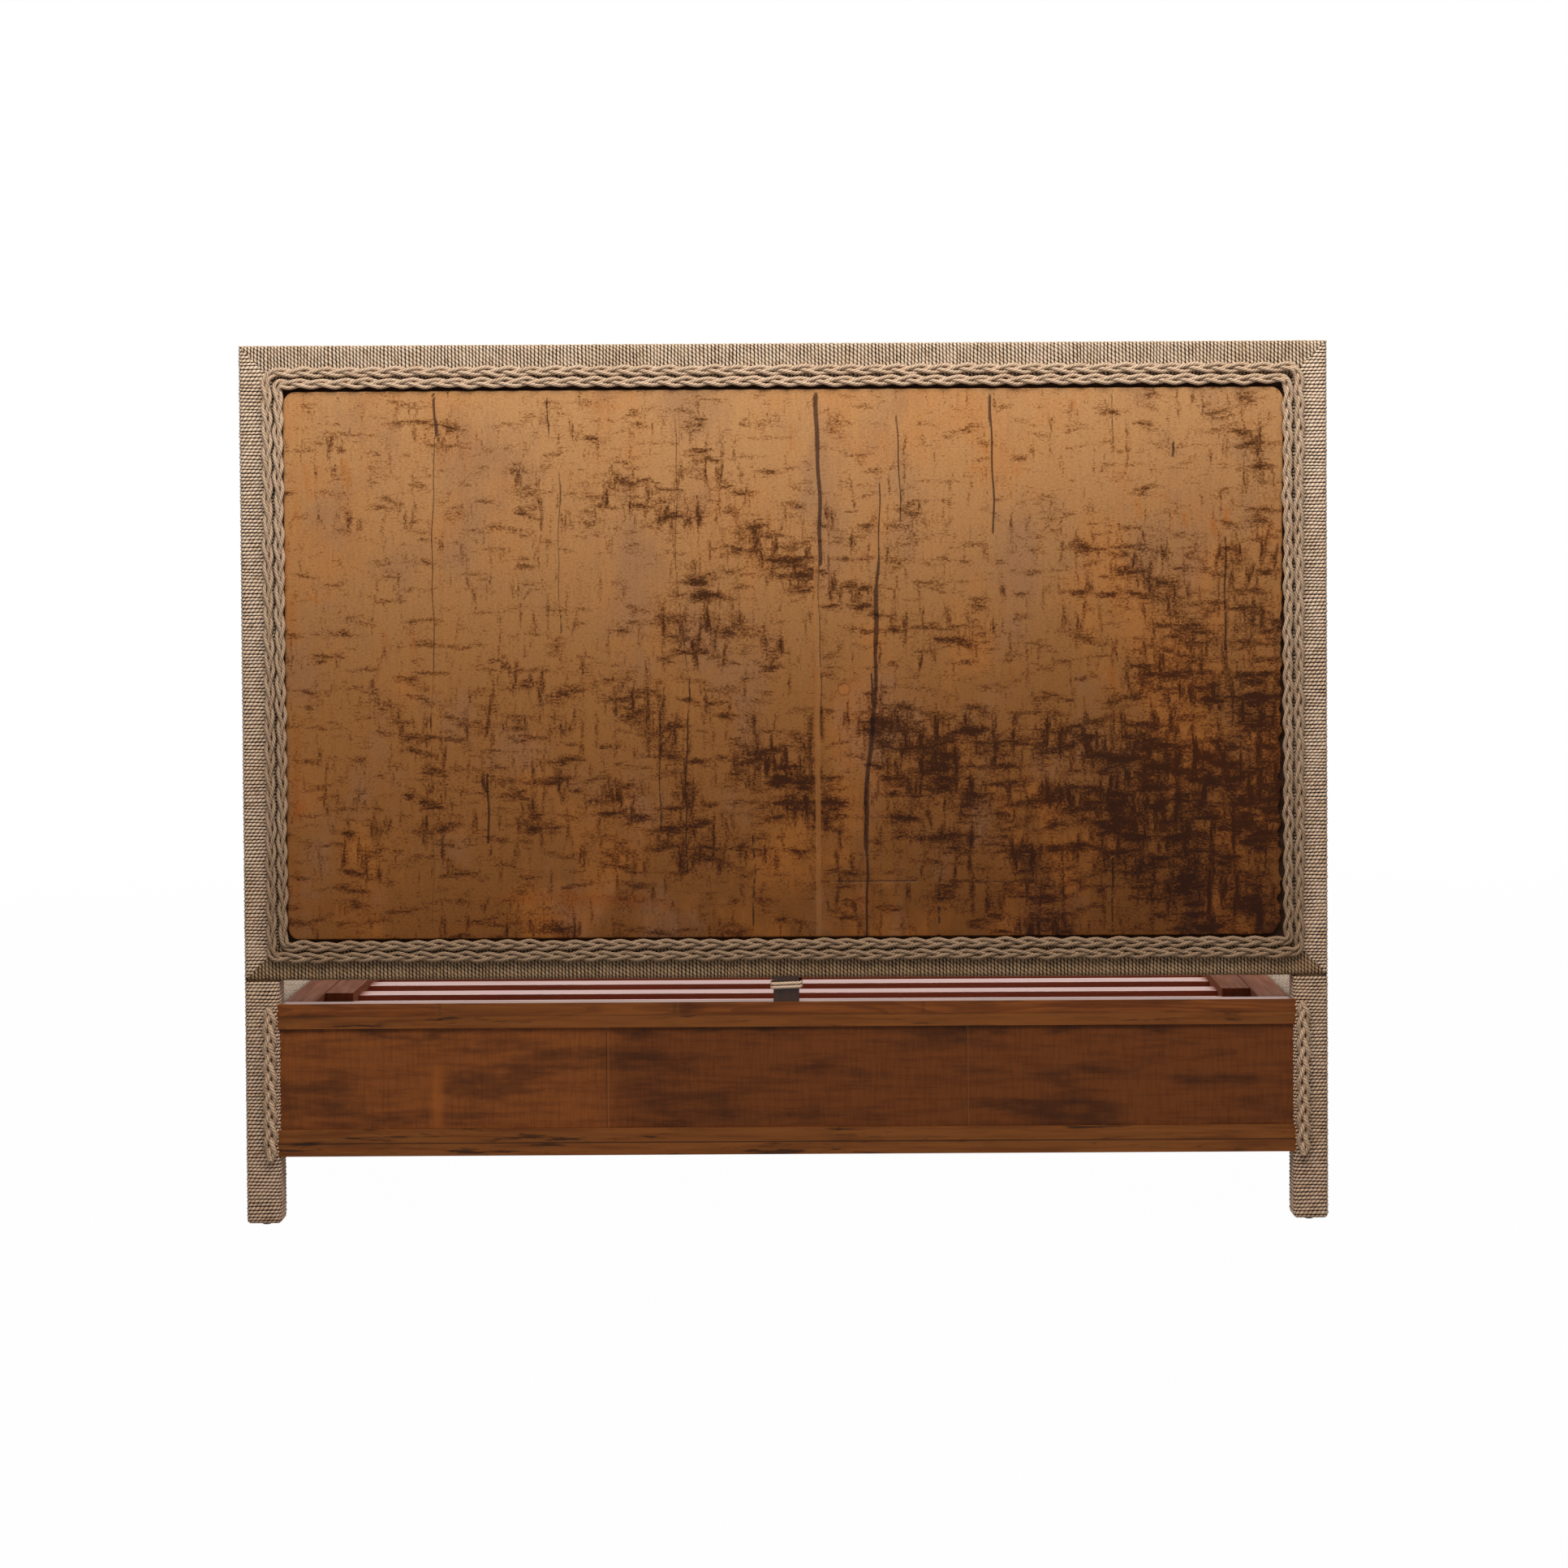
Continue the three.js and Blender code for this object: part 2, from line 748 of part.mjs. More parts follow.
// Side rails: a wrapped beam outside, a plank inside it, and a ledger with a cleat for the slats
function sideCore(side) {
  const body = box(
    across(side, railInner + wrap, railOuter - wrap),
    [postSize + 2 * fit, footPostStart - 2 * fit],
    [railBottom + wrap, railTop - wrap],
  );
  const tenons = [block(sideTenon(side, false)), block(sideTenon(side, true))];
  return shaped(bar(body, "y", coreRound), { add: tenons });
}

function sideWrap(side) {
  const y = [postSize + fit, footPostStart - fit];
  const outer = box(across(side, railInner, railOuter), y, [railBottom, railTop]);
  const hollow = coreRoom(
    across(side, railInner + wrap, railOuter - wrap),
    [0, footOuter],
    [railBottom + wrap, railTop - wrap],
  );
  return shaped(bar(outer, "y", wrapRound, 3), { remove: [hollow] });
}

function sidePlank(side) {
  const body = box(
    across(side, plankInner, railInner - fit),
    [crossFront + fit, footInner - fit],
    [railTop - plankHeight, railTop],
  );
  const pocketZ = [railTop - pocketRoof - pocketHeight, railTop - pocketRoof];
  const pocket = box(
    across(side, plankInner - fit, plankInner + pocketDepth),
    [pocketStart, ledgerStart],
    pocketZ,
  );
  return shaped(bar(body, "y", coreRound), { remove: [block(pocket)] });
}

function ledger(side) {
  const outerX = plankInner - fit;
  const cleatInner = ledgerInner - cleatWidth;
  const seat = slatBottom - fit;
  const end = footInner - fit;
  const cleat = box(
    across(side, cleatInner, outerX),
    [crossFront + fit, end],
    [seat - cleatHeight, seat],
  );
  const upright = box(across(side, ledgerInner, outerX), [ledgerStart, end], [seat - cleatHeight, ledgerTop]);
  return shaped(bar(cleat, "y", ledgerEase, 1), { add: [bar(upright, "y", ledgerEase, 1)] });
}

for (const [word, side] of bothSides) {
  addPiece(sides, `side_rail_${word}`, sideCore(side), coreWood);
  addPiece(sides, `side_rail_wrap_${word}`, sideWrap(side), rushCord);
  addPiece(sides, `side_plank_${word}`, sidePlank(side), redWood);
  addPiece(sides, `ledger_${word}`, ledger(side), redWood);
}

// Foot end
const footRailHalf = Math.min(postInner, railInner) - fit;
const footCoreY = [footPostStart + wrap, footPostStart + postSize - wrap];

function footPost(side) {
  const body = box(across(side, coreInner, coreOuter), footCoreY, [glideHeight, railTop - wrap]);
  const hole = nailHole(side * (postInner + postMiddle), footPostMiddle);
  return shaped(bar(body, "z", coreRound), {
    remove: [hole, mortise(sideTenon(side, true)), mortise(footTenon(side))],
  });
}

function footPostWrap(side) {
  const y = [footPostStart, footPostStart + postSize];
  const outer = box(across(side, postInner, postOuter), y, [glideHeight + fit, railTop]);
  const hollow = coreRoom(across(side, coreInner, coreOuter), footCoreY, [-glideHeight, railTop - wrap]);
  return shaped(bar(outer, "z", wrapRound, 3), {
    remove: [hollow, mortise(sideTenon(side, true)), mortise(footTenon(side))],
  });
}

function footRail() {
  const half = footRailHalf - fit;
  const body = box(
    [-half, half],
    [footInner + wrap, footOuter - wrap],
    [railBottom + wrap, railTop - wrap],
  );
  const tenons = bothSides.map(([, side]) => block(footTenon(side)));
  return shaped(bar(body, "x", coreRound), { add: tenons, remove: [mortise(footBeamTenon)] });
}

function footRailWrap() {
  const half = footRailHalf;
  const outer = box([-half, half], [footInner, footOuter], [railBottom, railTop]);
  const hollow = coreRoom(
    [-postOuter, postOuter],
    [footInner + wrap, footOuter - wrap],
    [railBottom + wrap, railTop - wrap],
  );
  return shaped(bar(outer, "x", wrapRound, 3), { remove: [hollow, mortise(footBeamTenon)] });
}

for (const [word, side] of bothSides) {
  addPiece(footEnd, `foot_post_${word}`, footPost(side), coreWood);
  addPiece(footEnd, `foot_post_wrap_${word}`, footPostWrap(side), rushCord);
  for (const [end, y] of [["head", postMiddle], ["foot", footPostMiddle]]) {
    const glide = addPiece(footEnd, `glide_${end}_${word}`, turned(glideProfile(), 16), darkPlastic);
    glide.position.set(side * (postInner + postMiddle), y, 0);
  }
}
addPiece(footEnd, "foot_rail", footRail(), coreWood);
addPiece(footEnd, "foot_rail_wrap", footRailWrap(), rushCord);

// Slats
for (let i = 0; i < slatCount; i++) {
  const length = 2 * (ledgerInner - fit);
  const body = box(centred(0, length), centred(0, slatWidth), [slatBottom, slatTop]);
  const number = String(i + 1).padStart(2, "0");
  const slat = addPiece(deck, `slat_${number}`, bar(body, "x", slatEase), slatWood);
  slat.position.y = crossFront + slatGap + slatWidth / 2 + i * (slatGap + slatWidth);
}

// Centre beam on its leg, which stands on a foot with a screw
const legMiddle = (crossFront + footInner) / 2;
const legTenon = box(
  centred(0, legTenonSize),
  centred(legMiddle, legTenonSize),
  [beamBottom - 2 * fit, beamBottom + crossTenonLength],
);
const beamBody = box(
  centred(0, beamWidth),
  [crossFront + fit, footInner - fit],
  [beamBottom, beamTop],
);
const legBody = box(
  centred(0, centreLegSize),
  centred(legMiddle, centreLegSize),
  [centreLegBottom, beamBottom - fit],
);
const footProfile = [
  [0, 0],
  [footPadRadius - footPadEase, 0],
  [footPadRadius, footPadEase],
  [footPadRadius, footPadRim],
  [footCollarRadius, footPadHeight],
  [footStemRadius, footPadHeight],
  [footStemRadius, footPadHeight + footStemLength],
  [0, footPadHeight + footStemLength],
];
const stemHoleDepth = footPadHeight + footStemLength - centreLegBottom + stemRoom;

addPiece(
  deck,
  "centre_beam",
  shaped(bar(beamBody, "y", coreRound), {
    add: [block(headBeamTenon), block(footBeamTenon)],
    remove: [mortise(legTenon)],
  }),
  slatWood,
);
addPiece(
  deck,
  "centre_leg",
  shaped(bar(legBody, "z", coreRound), {
    add: [block(legTenon)],
    remove: [drilled(0, legMiddle, centreLegBottom, footStemRadius + fit, stemHoleDepth)],
  }),
  slatWood,
);
const screwFoot = addPiece(deck, "centre_leg_foot", turned(footProfile, 24), steel);
screwFoot.position.set(0, legMiddle, 0);

export default bed;
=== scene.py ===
import math

import bmesh
import bpy
import numpy as np
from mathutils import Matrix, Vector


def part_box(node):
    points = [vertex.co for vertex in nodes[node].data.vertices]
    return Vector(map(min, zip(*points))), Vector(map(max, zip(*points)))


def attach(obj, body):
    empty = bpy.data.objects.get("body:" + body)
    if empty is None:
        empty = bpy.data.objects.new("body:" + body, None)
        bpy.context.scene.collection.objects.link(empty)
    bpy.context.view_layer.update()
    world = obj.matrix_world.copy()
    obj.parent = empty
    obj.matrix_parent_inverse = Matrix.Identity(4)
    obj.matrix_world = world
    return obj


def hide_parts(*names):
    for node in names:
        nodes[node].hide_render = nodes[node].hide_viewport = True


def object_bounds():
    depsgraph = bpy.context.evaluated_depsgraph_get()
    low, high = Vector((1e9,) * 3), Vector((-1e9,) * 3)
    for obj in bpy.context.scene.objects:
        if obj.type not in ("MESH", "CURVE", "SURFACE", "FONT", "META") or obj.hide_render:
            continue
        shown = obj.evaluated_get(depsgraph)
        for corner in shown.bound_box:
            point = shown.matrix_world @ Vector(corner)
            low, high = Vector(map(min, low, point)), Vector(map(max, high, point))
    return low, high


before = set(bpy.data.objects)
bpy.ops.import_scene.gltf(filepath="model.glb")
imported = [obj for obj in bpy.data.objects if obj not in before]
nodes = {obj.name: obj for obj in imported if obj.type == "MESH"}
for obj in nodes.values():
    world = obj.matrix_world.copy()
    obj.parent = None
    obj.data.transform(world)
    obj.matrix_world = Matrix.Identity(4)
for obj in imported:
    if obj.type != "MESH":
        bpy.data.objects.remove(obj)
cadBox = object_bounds()
mm = 0.001
wrapThick = 5 * mm  # of the cord round a core
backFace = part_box("headboard_post_left")[0].y - wrapThick  # plane of the headboard's wraps, behind the bed
print("frame loaded:", len(nodes), "nodes, wraps' back plane at y", round(backFace, 4))


# camera

view = dict(
    place=(0.073, -6.08, 1.031), lens=75.74, pitch=1.45, roll=0.32, shift=(-0.0305, -0.098), farthest=200,
)


def setCamera():
    data = bpy.data.cameras.new("behindHeadboard")
    data.lens = view["lens"]
    data.shift_x, data.shift_y = view["shift"]
    data.clip_end = view["farthest"]
    camera = bpy.data.objects.new("behindHeadboard", data)
    camera.location = view["place"]
    camera.rotation_euler = (math.radians(90 - view["pitch"]), math.radians(view["roll"]), 0)
    bpy.context.scene.collection.objects.link(camera)
    bpy.context.scene.camera = camera


setCamera()


# shaders

white = (1.0, 1.0, 1.0, 1.0)


def tint(red, green, blue):
    # a colour as a screen shows it, turned to linear light
    shown = np.array([red, green, blue]) / 255
    linear = np.where(shown <= 0.04045, shown / 12.92, ((shown + 0.055) / 1.055) ** 2.4)
    return (*linear.tolist(), 1.0)


class Wire:
    # an output socket: sums written with it add Math nodes
    def __init__(self, look, socket):
        self.look = look
        self.socket = socket

    def math(self, operation, *values):
        return self.look.node("ShaderNodeMath", dict(operation=operation), values)

    def __add__(self, other):
        return self.math("ADD", self, other)

    def __sub__(self, other):
        return self.math("SUBTRACT", self, other)

    def __rsub__(self, other):
        return self.math("SUBTRACT", other, self)

    def __mul__(self, other):
        return self.math("MULTIPLY", self, other)

    def __truediv__(self, other):
        return self.math("DIVIDE", self, other)

    def __rtruediv__(self, other):
        return self.math("DIVIDE", other, self)

    def __abs__(self):
        return self.math("ABSOLUTE", self)

    __radd__ = __add__
    __rmul__ = __mul__

    def whole(self):
        return self.math("FLOOR", self)

    def part(self):
        return self.math("FRACT", self)

    def most(self, other):
        return self.math("MAXIMUM", self, other)


class Look:
    # a material or world whose nodes are added one call at a time
    def __init__(self, owner, fixed=None):
        owner.use_nodes = True
        self.owner = owner
        self.tree = owner.node_tree
        self.shader = self.tree.nodes.get("Principled BSDF")
        self.coordinates = self.tree.nodes.new("ShaderNodeTexCoord")
        for name, value in (fixed or {}).items():
            self.shader.inputs[name].default_value = value

    def node(self, kind, settings, values, out=0):
        made = self.tree.nodes.new(kind)
        for name, value in settings.items():
            if name == "stops":
                self.fillRamp(made.color_ramp, value)
            else:
                setattr(made, name, value)
        for where, value in values.items() if isinstance(values, dict) else enumerate(values):
            self.put(made.inputs[where], value)
        return Wire(self, made.outputs[out])

    def put(self, socket, value):
        if isinstance(value, Wire):
            self.tree.links.new(value.socket, socket)
        else:
            socket.default_value = value

    def fillRamp(self, ramp, stops):
        ramp.elements.remove(ramp.elements[1])
        ramp.elements[0].position, ramp.elements[0].color = stops[0]
        for position, colour in stops[1:]:
            ramp.elements.new(position).color = colour

    def feed(self, **sockets):
        for name, value in sockets.items():
            self.put(self.shader.inputs[name.replace("_", " ")], value)

    def place(self):
        return Wire(self, self.coordinates.outputs["Object"])

    def axis(self, vector, number):
        return self.node("ShaderNodeSeparateXYZ", {}, [vector], number)

    def point(self, *parts):
        return self.node("ShaderNodeCombineXYZ", {}, parts)

    def distance(self, first, second):
        return self.node("ShaderNodeVectorMath", dict(operation="DISTANCE"), [first, second], 1)

    def mix(self, factor, first, second, blend="MIX"):
        settings = dict(data_type="RGBA", blend_type=blend)
        return self.node("ShaderNodeMix", settings, {0: factor, 6: first, 7: second}, 2)

    def darken(self, factor, first, second):
        return self.mix(factor, first, second, "MULTIPLY")

    def ramp(self, value, *stops):
        return self.node("ShaderNodeValToRGB", dict(stops=stops), [value])

    def band(self, value, low, high, bottom=0.0, top=1.0):
        # a smooth step from bottom to top as value goes from low to high
        settings = dict(interpolation_type="SMOOTHSTEP")
        return self.node("ShaderNodeMapRange", settings, [value, low, high, bottom, top])

    def noise(self, scale, stretch=(1, 1, 1), detail=3.0, rough=0.5, move=(0, 0, 0), field=None):
        moved = {"Vector": field or self.place(), "Location": move, "Scale": stretch}
        spot = self.node("ShaderNodeMapping", {}, moved)
        values = {"Vector": spot, "Scale": scale, "Detail": detail, "Roughness": rough}
        return self.node("ShaderNodeTexNoise", {}, values)

    def chance(self, *parts):
        # a number from 0 to 1 that differs from one whole-numbered place to the next
        return self.node("ShaderNodeTexWhiteNoise", {}, {"Vector": self.point(*parts)})

    def painted(self, name):
        return self.node("ShaderNodeAttribute", dict(attribute_name=name), [], 2)

    def seenBy(self, first, *others):
        # 1 where one of these rays arrives
        outputs = self.node("ShaderNodeLightPath", {}, []).socket.node.outputs
        seen = Wire(self, outputs[first])
        for name in others:
            seen = seen.most(Wire(self, outputs[name]))
        return seen

    def bump(self, height, distance, strength=1.0):
        values = {"Strength": strength, "Distance": distance, "Height": height}
        self.feed(Normal=self.node("ShaderNodeBump", {}, values))


def newLook(name, **fixed):
    return Look(bpy.data.materials.new(name), {key.replace("_", " "): fixed[key] for key in fixed})


# in the dictionaries of looks, a noise is (scale, stretch, detail, roughness, move) and a step is
# (from, to, value at from, value at to)

# rush cord

rush = dict(
    straw=tint(214, 190, 153), pale=tint(238, 218, 192), pink=tint(230, 200, 174),
    # groove and spot: colours of the painted shade in the grooves between plies, the valleys between turns and
    # the hollows where both meet
    tan=tint(196, 164, 126), brown=tint(150, 114, 80), groove=tint(74, 50, 34),
    # shine: colour of the painted highlight on the crest of each ply
    shine=tint(255, 244, 226), spot=tint(40, 24, 16), gloss=0.58, specular=0.2,
    shades=((0.0, "brown"), (0.14, "straw"), (0.34, "pale"), (0.52, "pink"), (0.7, "pale"), (0.86, "tan"),
            (1.0, "brown")),
    turnShare=0.4,  # part of a ply's shade that it shares with its whole turn
    fibre=(1.0, (1.6, 9.0, 1.0), 3.0, 0.65), patches=(9.0, (1, 1, 1), 2.0), uneven=(60.0, (1, 1, 1), 2.0),
    tanFibre=(0.42, 0.68, 0.0, 0.6), tanPatch=(0.4, 0.75, 0.0, 0.5), paintedCrestLight=(0.1, 1.1, 0.6, 0.0),
    grooveShade=(0.5, 1.0, 0.0, 0.66), valleyShade=(0.62, 1.12, 0.0, 0.88), valleyPlay=0.3,
    spotShade=(0.9, 1.22, 0.0, 0.97), spotMix=(0.75, 0.5, 0.5), rough=(0.3, 0.7, 0.5, 0.74),
    fibreRise=0.16, rise=1.2 * mm, strength=0.8,
)


def rushLook(name, low, high, ribbed=0.0):
    # UV "cord": x counts the turns, a whole number where two turns meet; y counts the plies,
    # a whole number in the groove between two; ribbed adds the plies as bump where they are not in the mesh;
    # low and high tint the cord at the floor and at the headboard's top, a painted shade below and painted
    # light above;
    # the crest of each ply gets a painted highlight, and its grooves, valleys and hollows a painted shade
    look = newLook(name, Roughness=rush["gloss"], Specular_IOR_Level=rush["specular"])
    cord = look.node("ShaderNodeUVMap", dict(uv_map="cord"), [])
    turn, ply = look.axis(cord, 0), look.axis(cord, 1)
    toEdge = abs(turn.part() - 0.5) * 2
    toGroove = abs(ply.part() - 0.5) * 2
    which = look.chance(turn.whole(), ply.whole(), 0.0)
    perTurn = look.chance(turn.whole(), 7.0, 3.0)
    shade = which * (1 - rush["turnShare"]) + perTurn * rush["turnShare"]
    colour = look.ramp(shade, *((at, rush[key]) for at, key in rush["shades"]))
    fibre = look.noise(*rush["fibre"], field=cord)
    colour = look.mix(look.band(fibre, *rush["tanFibre"]), colour, rush["tan"])
    patches = look.noise(*rush["patches"])
    colour = look.mix(look.band(patches, *rush["tanPatch"]), colour, rush["tan"])
    uneven = look.noise(*rush["uneven"])
    # painted highlight: the shine colour laid over the crest of each ply, where toEdge and toGroove are small
    colour = look.mix(look.band(toEdge + toGroove, *rush["paintedCrestLight"]), colour, rush["shine"])
    # painted shade: the groove colour darkens the grooves and valleys, and the spot colour the hollows where
    # they meet
    grooveShade = look.band(toGroove, *rush["grooveShade"])
    valleyShade = look.band(toEdge + uneven * rush["valleyPlay"], *rush["valleyShade"])
    edge, groove, play = rush["spotMix"]
    spotShade = look.band(toEdge * edge + toGroove * groove + uneven * play, *rush["spotShade"])
    colour = look.mix(grooveShade.most(valleyShade), colour, rush["groove"])
    colour = look.mix(spotShade, colour, rush["spot"])
    # painted shade and light: the cord darker towards the floor and lighter towards the headboard's top, as
    # lamps above light it
    height = look.axis(look.place(), 2) / cadBox[1][2]
    colour = look.darken(1.0, colour, look.ramp(height, (0.0, (*low, 1.0)), (1.0, (*high, 1.0))))
    look.feed(Base_Color=colour, Roughness=look.band(fibre, *rush["rough"]))
    ribs = (1 - toGroove * toGroove) * ribbed
    look.bump(fibre * rush["fibreRise"] + ribs, rush["rise"], rush["strength"])
    return look.owner


# meshes

def gridCorners(rows, columns, loopRows=False, loopColumns=False):
    # the four corners of every quad, as steps in row and column, and as vertex numbers
    row, column = np.meshgrid(
        np.arange(rows if loopRows else rows - 1),
        np.arange(columns if loopColumns else columns - 1), indexing="ij",
    )
    row, column = row.ravel(), column.ravel()
    steps = np.stack([
        np.stack((row, row, row + 1, row + 1), 1),
        np.stack((column, column + 1, column + 1, column), 1),
    ], -1)
    numbers = (steps[..., 0] % rows) * columns + steps[..., 1] % columns
    return steps, numbers


def sheetPart(place, cord, loopRows=False):
    # a tube: place is rows by columns by 3, closed from its last column to its first, and capped unless
    # its rows close too; cord holds one more column, and one more row where the rows close
    rows, columns = place.shape[:2]
    steps, numbers = gridCorners(rows, columns, loopRows, True)
    faces = numbers.tolist()
    uv = cord[steps[..., 0], steps[..., 1]].reshape(-1, 2)
    if not loopRows:
        first = np.arange(columns)[::-1]
        last = (rows - 1) * columns + np.arange(columns)
        faces += [first.tolist(), last.tolist()]
        uv = np.vstack((uv, cord[0, :columns][::-1], cord[-1, :columns]))
    return place.reshape(-1, 3), faces, uv


def backedSheet(place, numbers, level, clockwise=False):
    # a level sheet closed with a skirt from its rim to a flat back at y = level
    rows, columns = place.shape[:2]
    rim = np.concatenate((
        np.arange(columns), columns - 1 + columns * np.arange(1, rows),
        (rows - 1) * columns + np.arange(columns - 1)[::-1], columns * np.arange(1, rows - 1)[::-1],
    ))
    behind = rows * columns + np.arange(len(rim))
    back = place.reshape(-1, 3)[rim].copy()
    back[:, 1] = level
    skirt = np.stack((rim, np.roll(rim, -1), np.roll(behind, -1), behind), 1)
    if clockwise:
        skirt, behind = np.roll(skirt[:, ::-1], 1, 1), behind[::-1]
    return np.vstack((place.reshape(-1, 3), back)), numbers.tolist() + skirt.tolist() + [behind.tolist()]


def meshPiece(name, parts, material, replaced=(), body="frame", attributes=None):
    places, faces, uvs, start = [], [], [], 0
    for place, partFaces, uv in parts:
        faces += [[start + number for number in face] for face in partFaces]
        places.append(place)
        uvs.append(uv)
        start += len(place)
    mesh = bpy.data.meshes.new(name)
    mesh.from_pydata(np.vstack(places).tolist(), [], faces)
    if uvs[0] is not None:
        mesh.uv_layers.new(name="cord").data.foreach_set("uv", np.vstack(uvs).ravel().astype(np.float32))
    for label, values in (attributes or {}).items():
        layer = mesh.attributes.new(label, "FLOAT", "POINT")
        layer.data.foreach_set("value", np.asarray(values, np.float32).ravel())
    mesh.polygons.foreach_set("use_smooth", np.array([len(face) < 5 for face in faces]))
    mesh.materials.append(material)
    mesh.update()
    piece = bpy.data.objects.new(name, mesh)
    bpy.context.scene.collection.objects.link(piece)
    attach(piece, body)
    if replaced:
        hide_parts(*replaced)
    return piece


def cutOff(piece, point, outward):
    # everything on the outward side of a plane goes, and the cut is closed
    work = bmesh.new()
    work.from_mesh(piece.data)
    geometry = work.verts[:] + work.edges[:] + work.faces[:]
    cut = bmesh.ops.bisect_plane(
        work, geom=geometry, dist=1e-7, plane_co=point, plane_no=outward, clear_outer=True)
    rim = [item for item in cut["geom_cut"] if isinstance(item, bmesh.types.BMEdge)]
    closed = bmesh.ops.edgeloop_fill(work, edges=rim)
    for face in closed["faces"]:
        face.smooth = False
    work.to_mesh(piece.data)
    work.free()


def roundOutline(low, high, radius, arc=None):
    # a rectangle with round corners, walked anticlockwise: its length, or the place and the
    # outward direction at each length of arc
    corners = [
        (high[0] - radius, low[1] + radius, -90), (high[0] - radius, high[1] - radius, 0),
        (low[0] + radius, high[1] - radius, 90), (low[0] + radius, low[1] + radius, 180),
    ]
    angles = [np.radians(start + np.linspace(0, 90, 9)) for _, _, start in corners]
    normals = [np.column_stack((np.cos(angle), np.sin(angle))) for angle in angles]
    places = [np.array(corner[:2]) + radius * normal for corner, normal in zip(corners, normals)]
    normals = np.vstack([*normals, normals[0][:1]])
    places = np.vstack([*places, places[0][:1]])
    length = np.concatenate(([0], np.cumsum(np.hypot(*np.diff(places, axis=0).T))))
    if arc is None:
        return length[-1]
    arc = np.mod(arc, length[-1])
    place = np.stack([np.interp(arc, length, places[:, k]) for k in (0, 1)], -1)
    normal = np.stack([np.interp(arc, length, normals[:, k]) for k in (0, 1)], -1)
    return place, normal


# wraps: one cord laid turn beside turn

wrap = dict(
    pitch=5.35 * mm, lay=6.6 * mm, valley=2.4 * mm, groove=1.0 * mm, corner=7 * mm,
    play=0.42 * mm, turnPlay=0.6, playWaves=3,  # how far the cord stands in or out, by turns and round a turn
    uneven=0.14,  # how much the spacing of the turns varies
    drift=0.62, driftPlay=0.2,  # plies' shift from one turn to the next, in lays
    swayWaves=2, swayTurn=0.37, slowSway=0.6, slowTurn=0.11, slowStart=1.3, swayGrows=3,
    endDepth=0.8, flats=12, bendSteps=4, tagStep=1000, tags=97,
)
fineRows = np.array([0, 0.12, 0.36, 0.64, 0.88])  # where the mesh rows cross one turn
plainRows = np.array([0, 0.17, 0.5, 0.83])


def wrapRound(name, replaced, axis, low, high, seed, look, coarse=False, endRound=(0.0, 0.0), rows=fineRows):
    # each turn is half a round cord in section, depth = valley x (1 - root(1 - across^2)); its plies
    # slant by one lay over the cord's height, and the groove between two is groove x root(1 - across^2)
    rng = np.random.default_rng(seed)
    first, second = (axis + 1) % 3, (axis + 2) % 3
    flatLow, flatHigh = (low[first], low[second]), (high[first], high[second])
    total = roundOutline(flatLow, flatHigh, wrap["corner"])
    length = high[axis] - low[axis]
    turns = round(length / wrap["pitch"])
    lays = round(total / wrap["lay"])
    lay = total / lays
    turn = np.concatenate((np.repeat(np.arange(turns), len(rows)), [turns]))
    phase = np.concatenate((np.tile(rows, turns), [0]))
    count = (turn + phase)[:, None]
    across = (2 * phase - 1)[:, None]
    swell = np.sqrt(1 - across ** 2)
    slant = np.arcsin(across) / np.pi
    drift = np.cumsum(wrap["drift"] + wrap["driftPlay"] * rng.uniform(-1, 1, turns + 1))[turn][:, None]
    climbed = np.concatenate(([0], np.cumsum(rng.uniform(1 - wrap["uneven"], 1 + wrap["uneven"], turns))))
    along = np.interp(count, np.arange(turns + 1), climbed / climbed[-1] * length)
    if coarse:
        arc = coarseArcs(flatLow, flatHigh, total)[None, :] + 0 * count
        plies = arc / lay - slant - drift
        grooves = 0
    else:
        plies = np.arange(2 * lays + 1)[None, :] / 2 + 0 * count
        arc = (plies + slant + drift) * lay
        grooves = wrap["groove"] * swell * (plies % 1 == 0)
    place, normal = roundOutline(flatLow, flatHigh, wrap["corner"], arc)
    lean = rng.uniform(0, 2 * np.pi, turns + 1)[turn][:, None]
    byTurn = rng.uniform(-1, 1, turns + 1)[turn][:, None]
    ripple = np.sin(2 * np.pi * arc / total * wrap["playWaves"] + lean)
    uneven = wrap["play"] * (byTurn * wrap["turnPlay"] + (1 - wrap["turnPlay"]) * ripple)
    depth = wrap["valley"] * (1 - swell) + grooves + (wrap["play"] + uneven) * swell
    fromEnds = np.stack((along, length - along))
    for k in (0, 1):
        if endRound[k]:
            left = np.clip(1 - fromEnds[k] / endRound[k], 0, 1)
            depth = depth + endRound[k] * (1 - np.sqrt(1 - left ** 2)) * wrap["endDepth"]
    sway = np.sin(2 * np.pi * arc / total * wrap["swayWaves"] + count * wrap["swayTurn"])
    sway = sway + wrap["slowSway"] * np.sin(count * wrap["slowTurn"] + wrap["slowStart"])
    sway = sway * wrap["play"] * np.clip(fromEnds.min(0) / (wrap["swayGrows"] * wrap["pitch"]), 0, 1)
    full = np.zeros(arc.shape + (3,))
    full[..., axis] = low[axis] + along + sway
    full[..., first] = place[..., 0] - normal[..., 0] * depth
    full[..., second] = place[..., 1] - normal[..., 1] * depth
    cord = np.stack((count + wrap["tagStep"] * (seed % wrap["tags"]) + 0 * arc, plies + 0 * arc), -1)
    return meshPiece(name, [sheetPart(full[:, :-1], cord)], look, replaced)


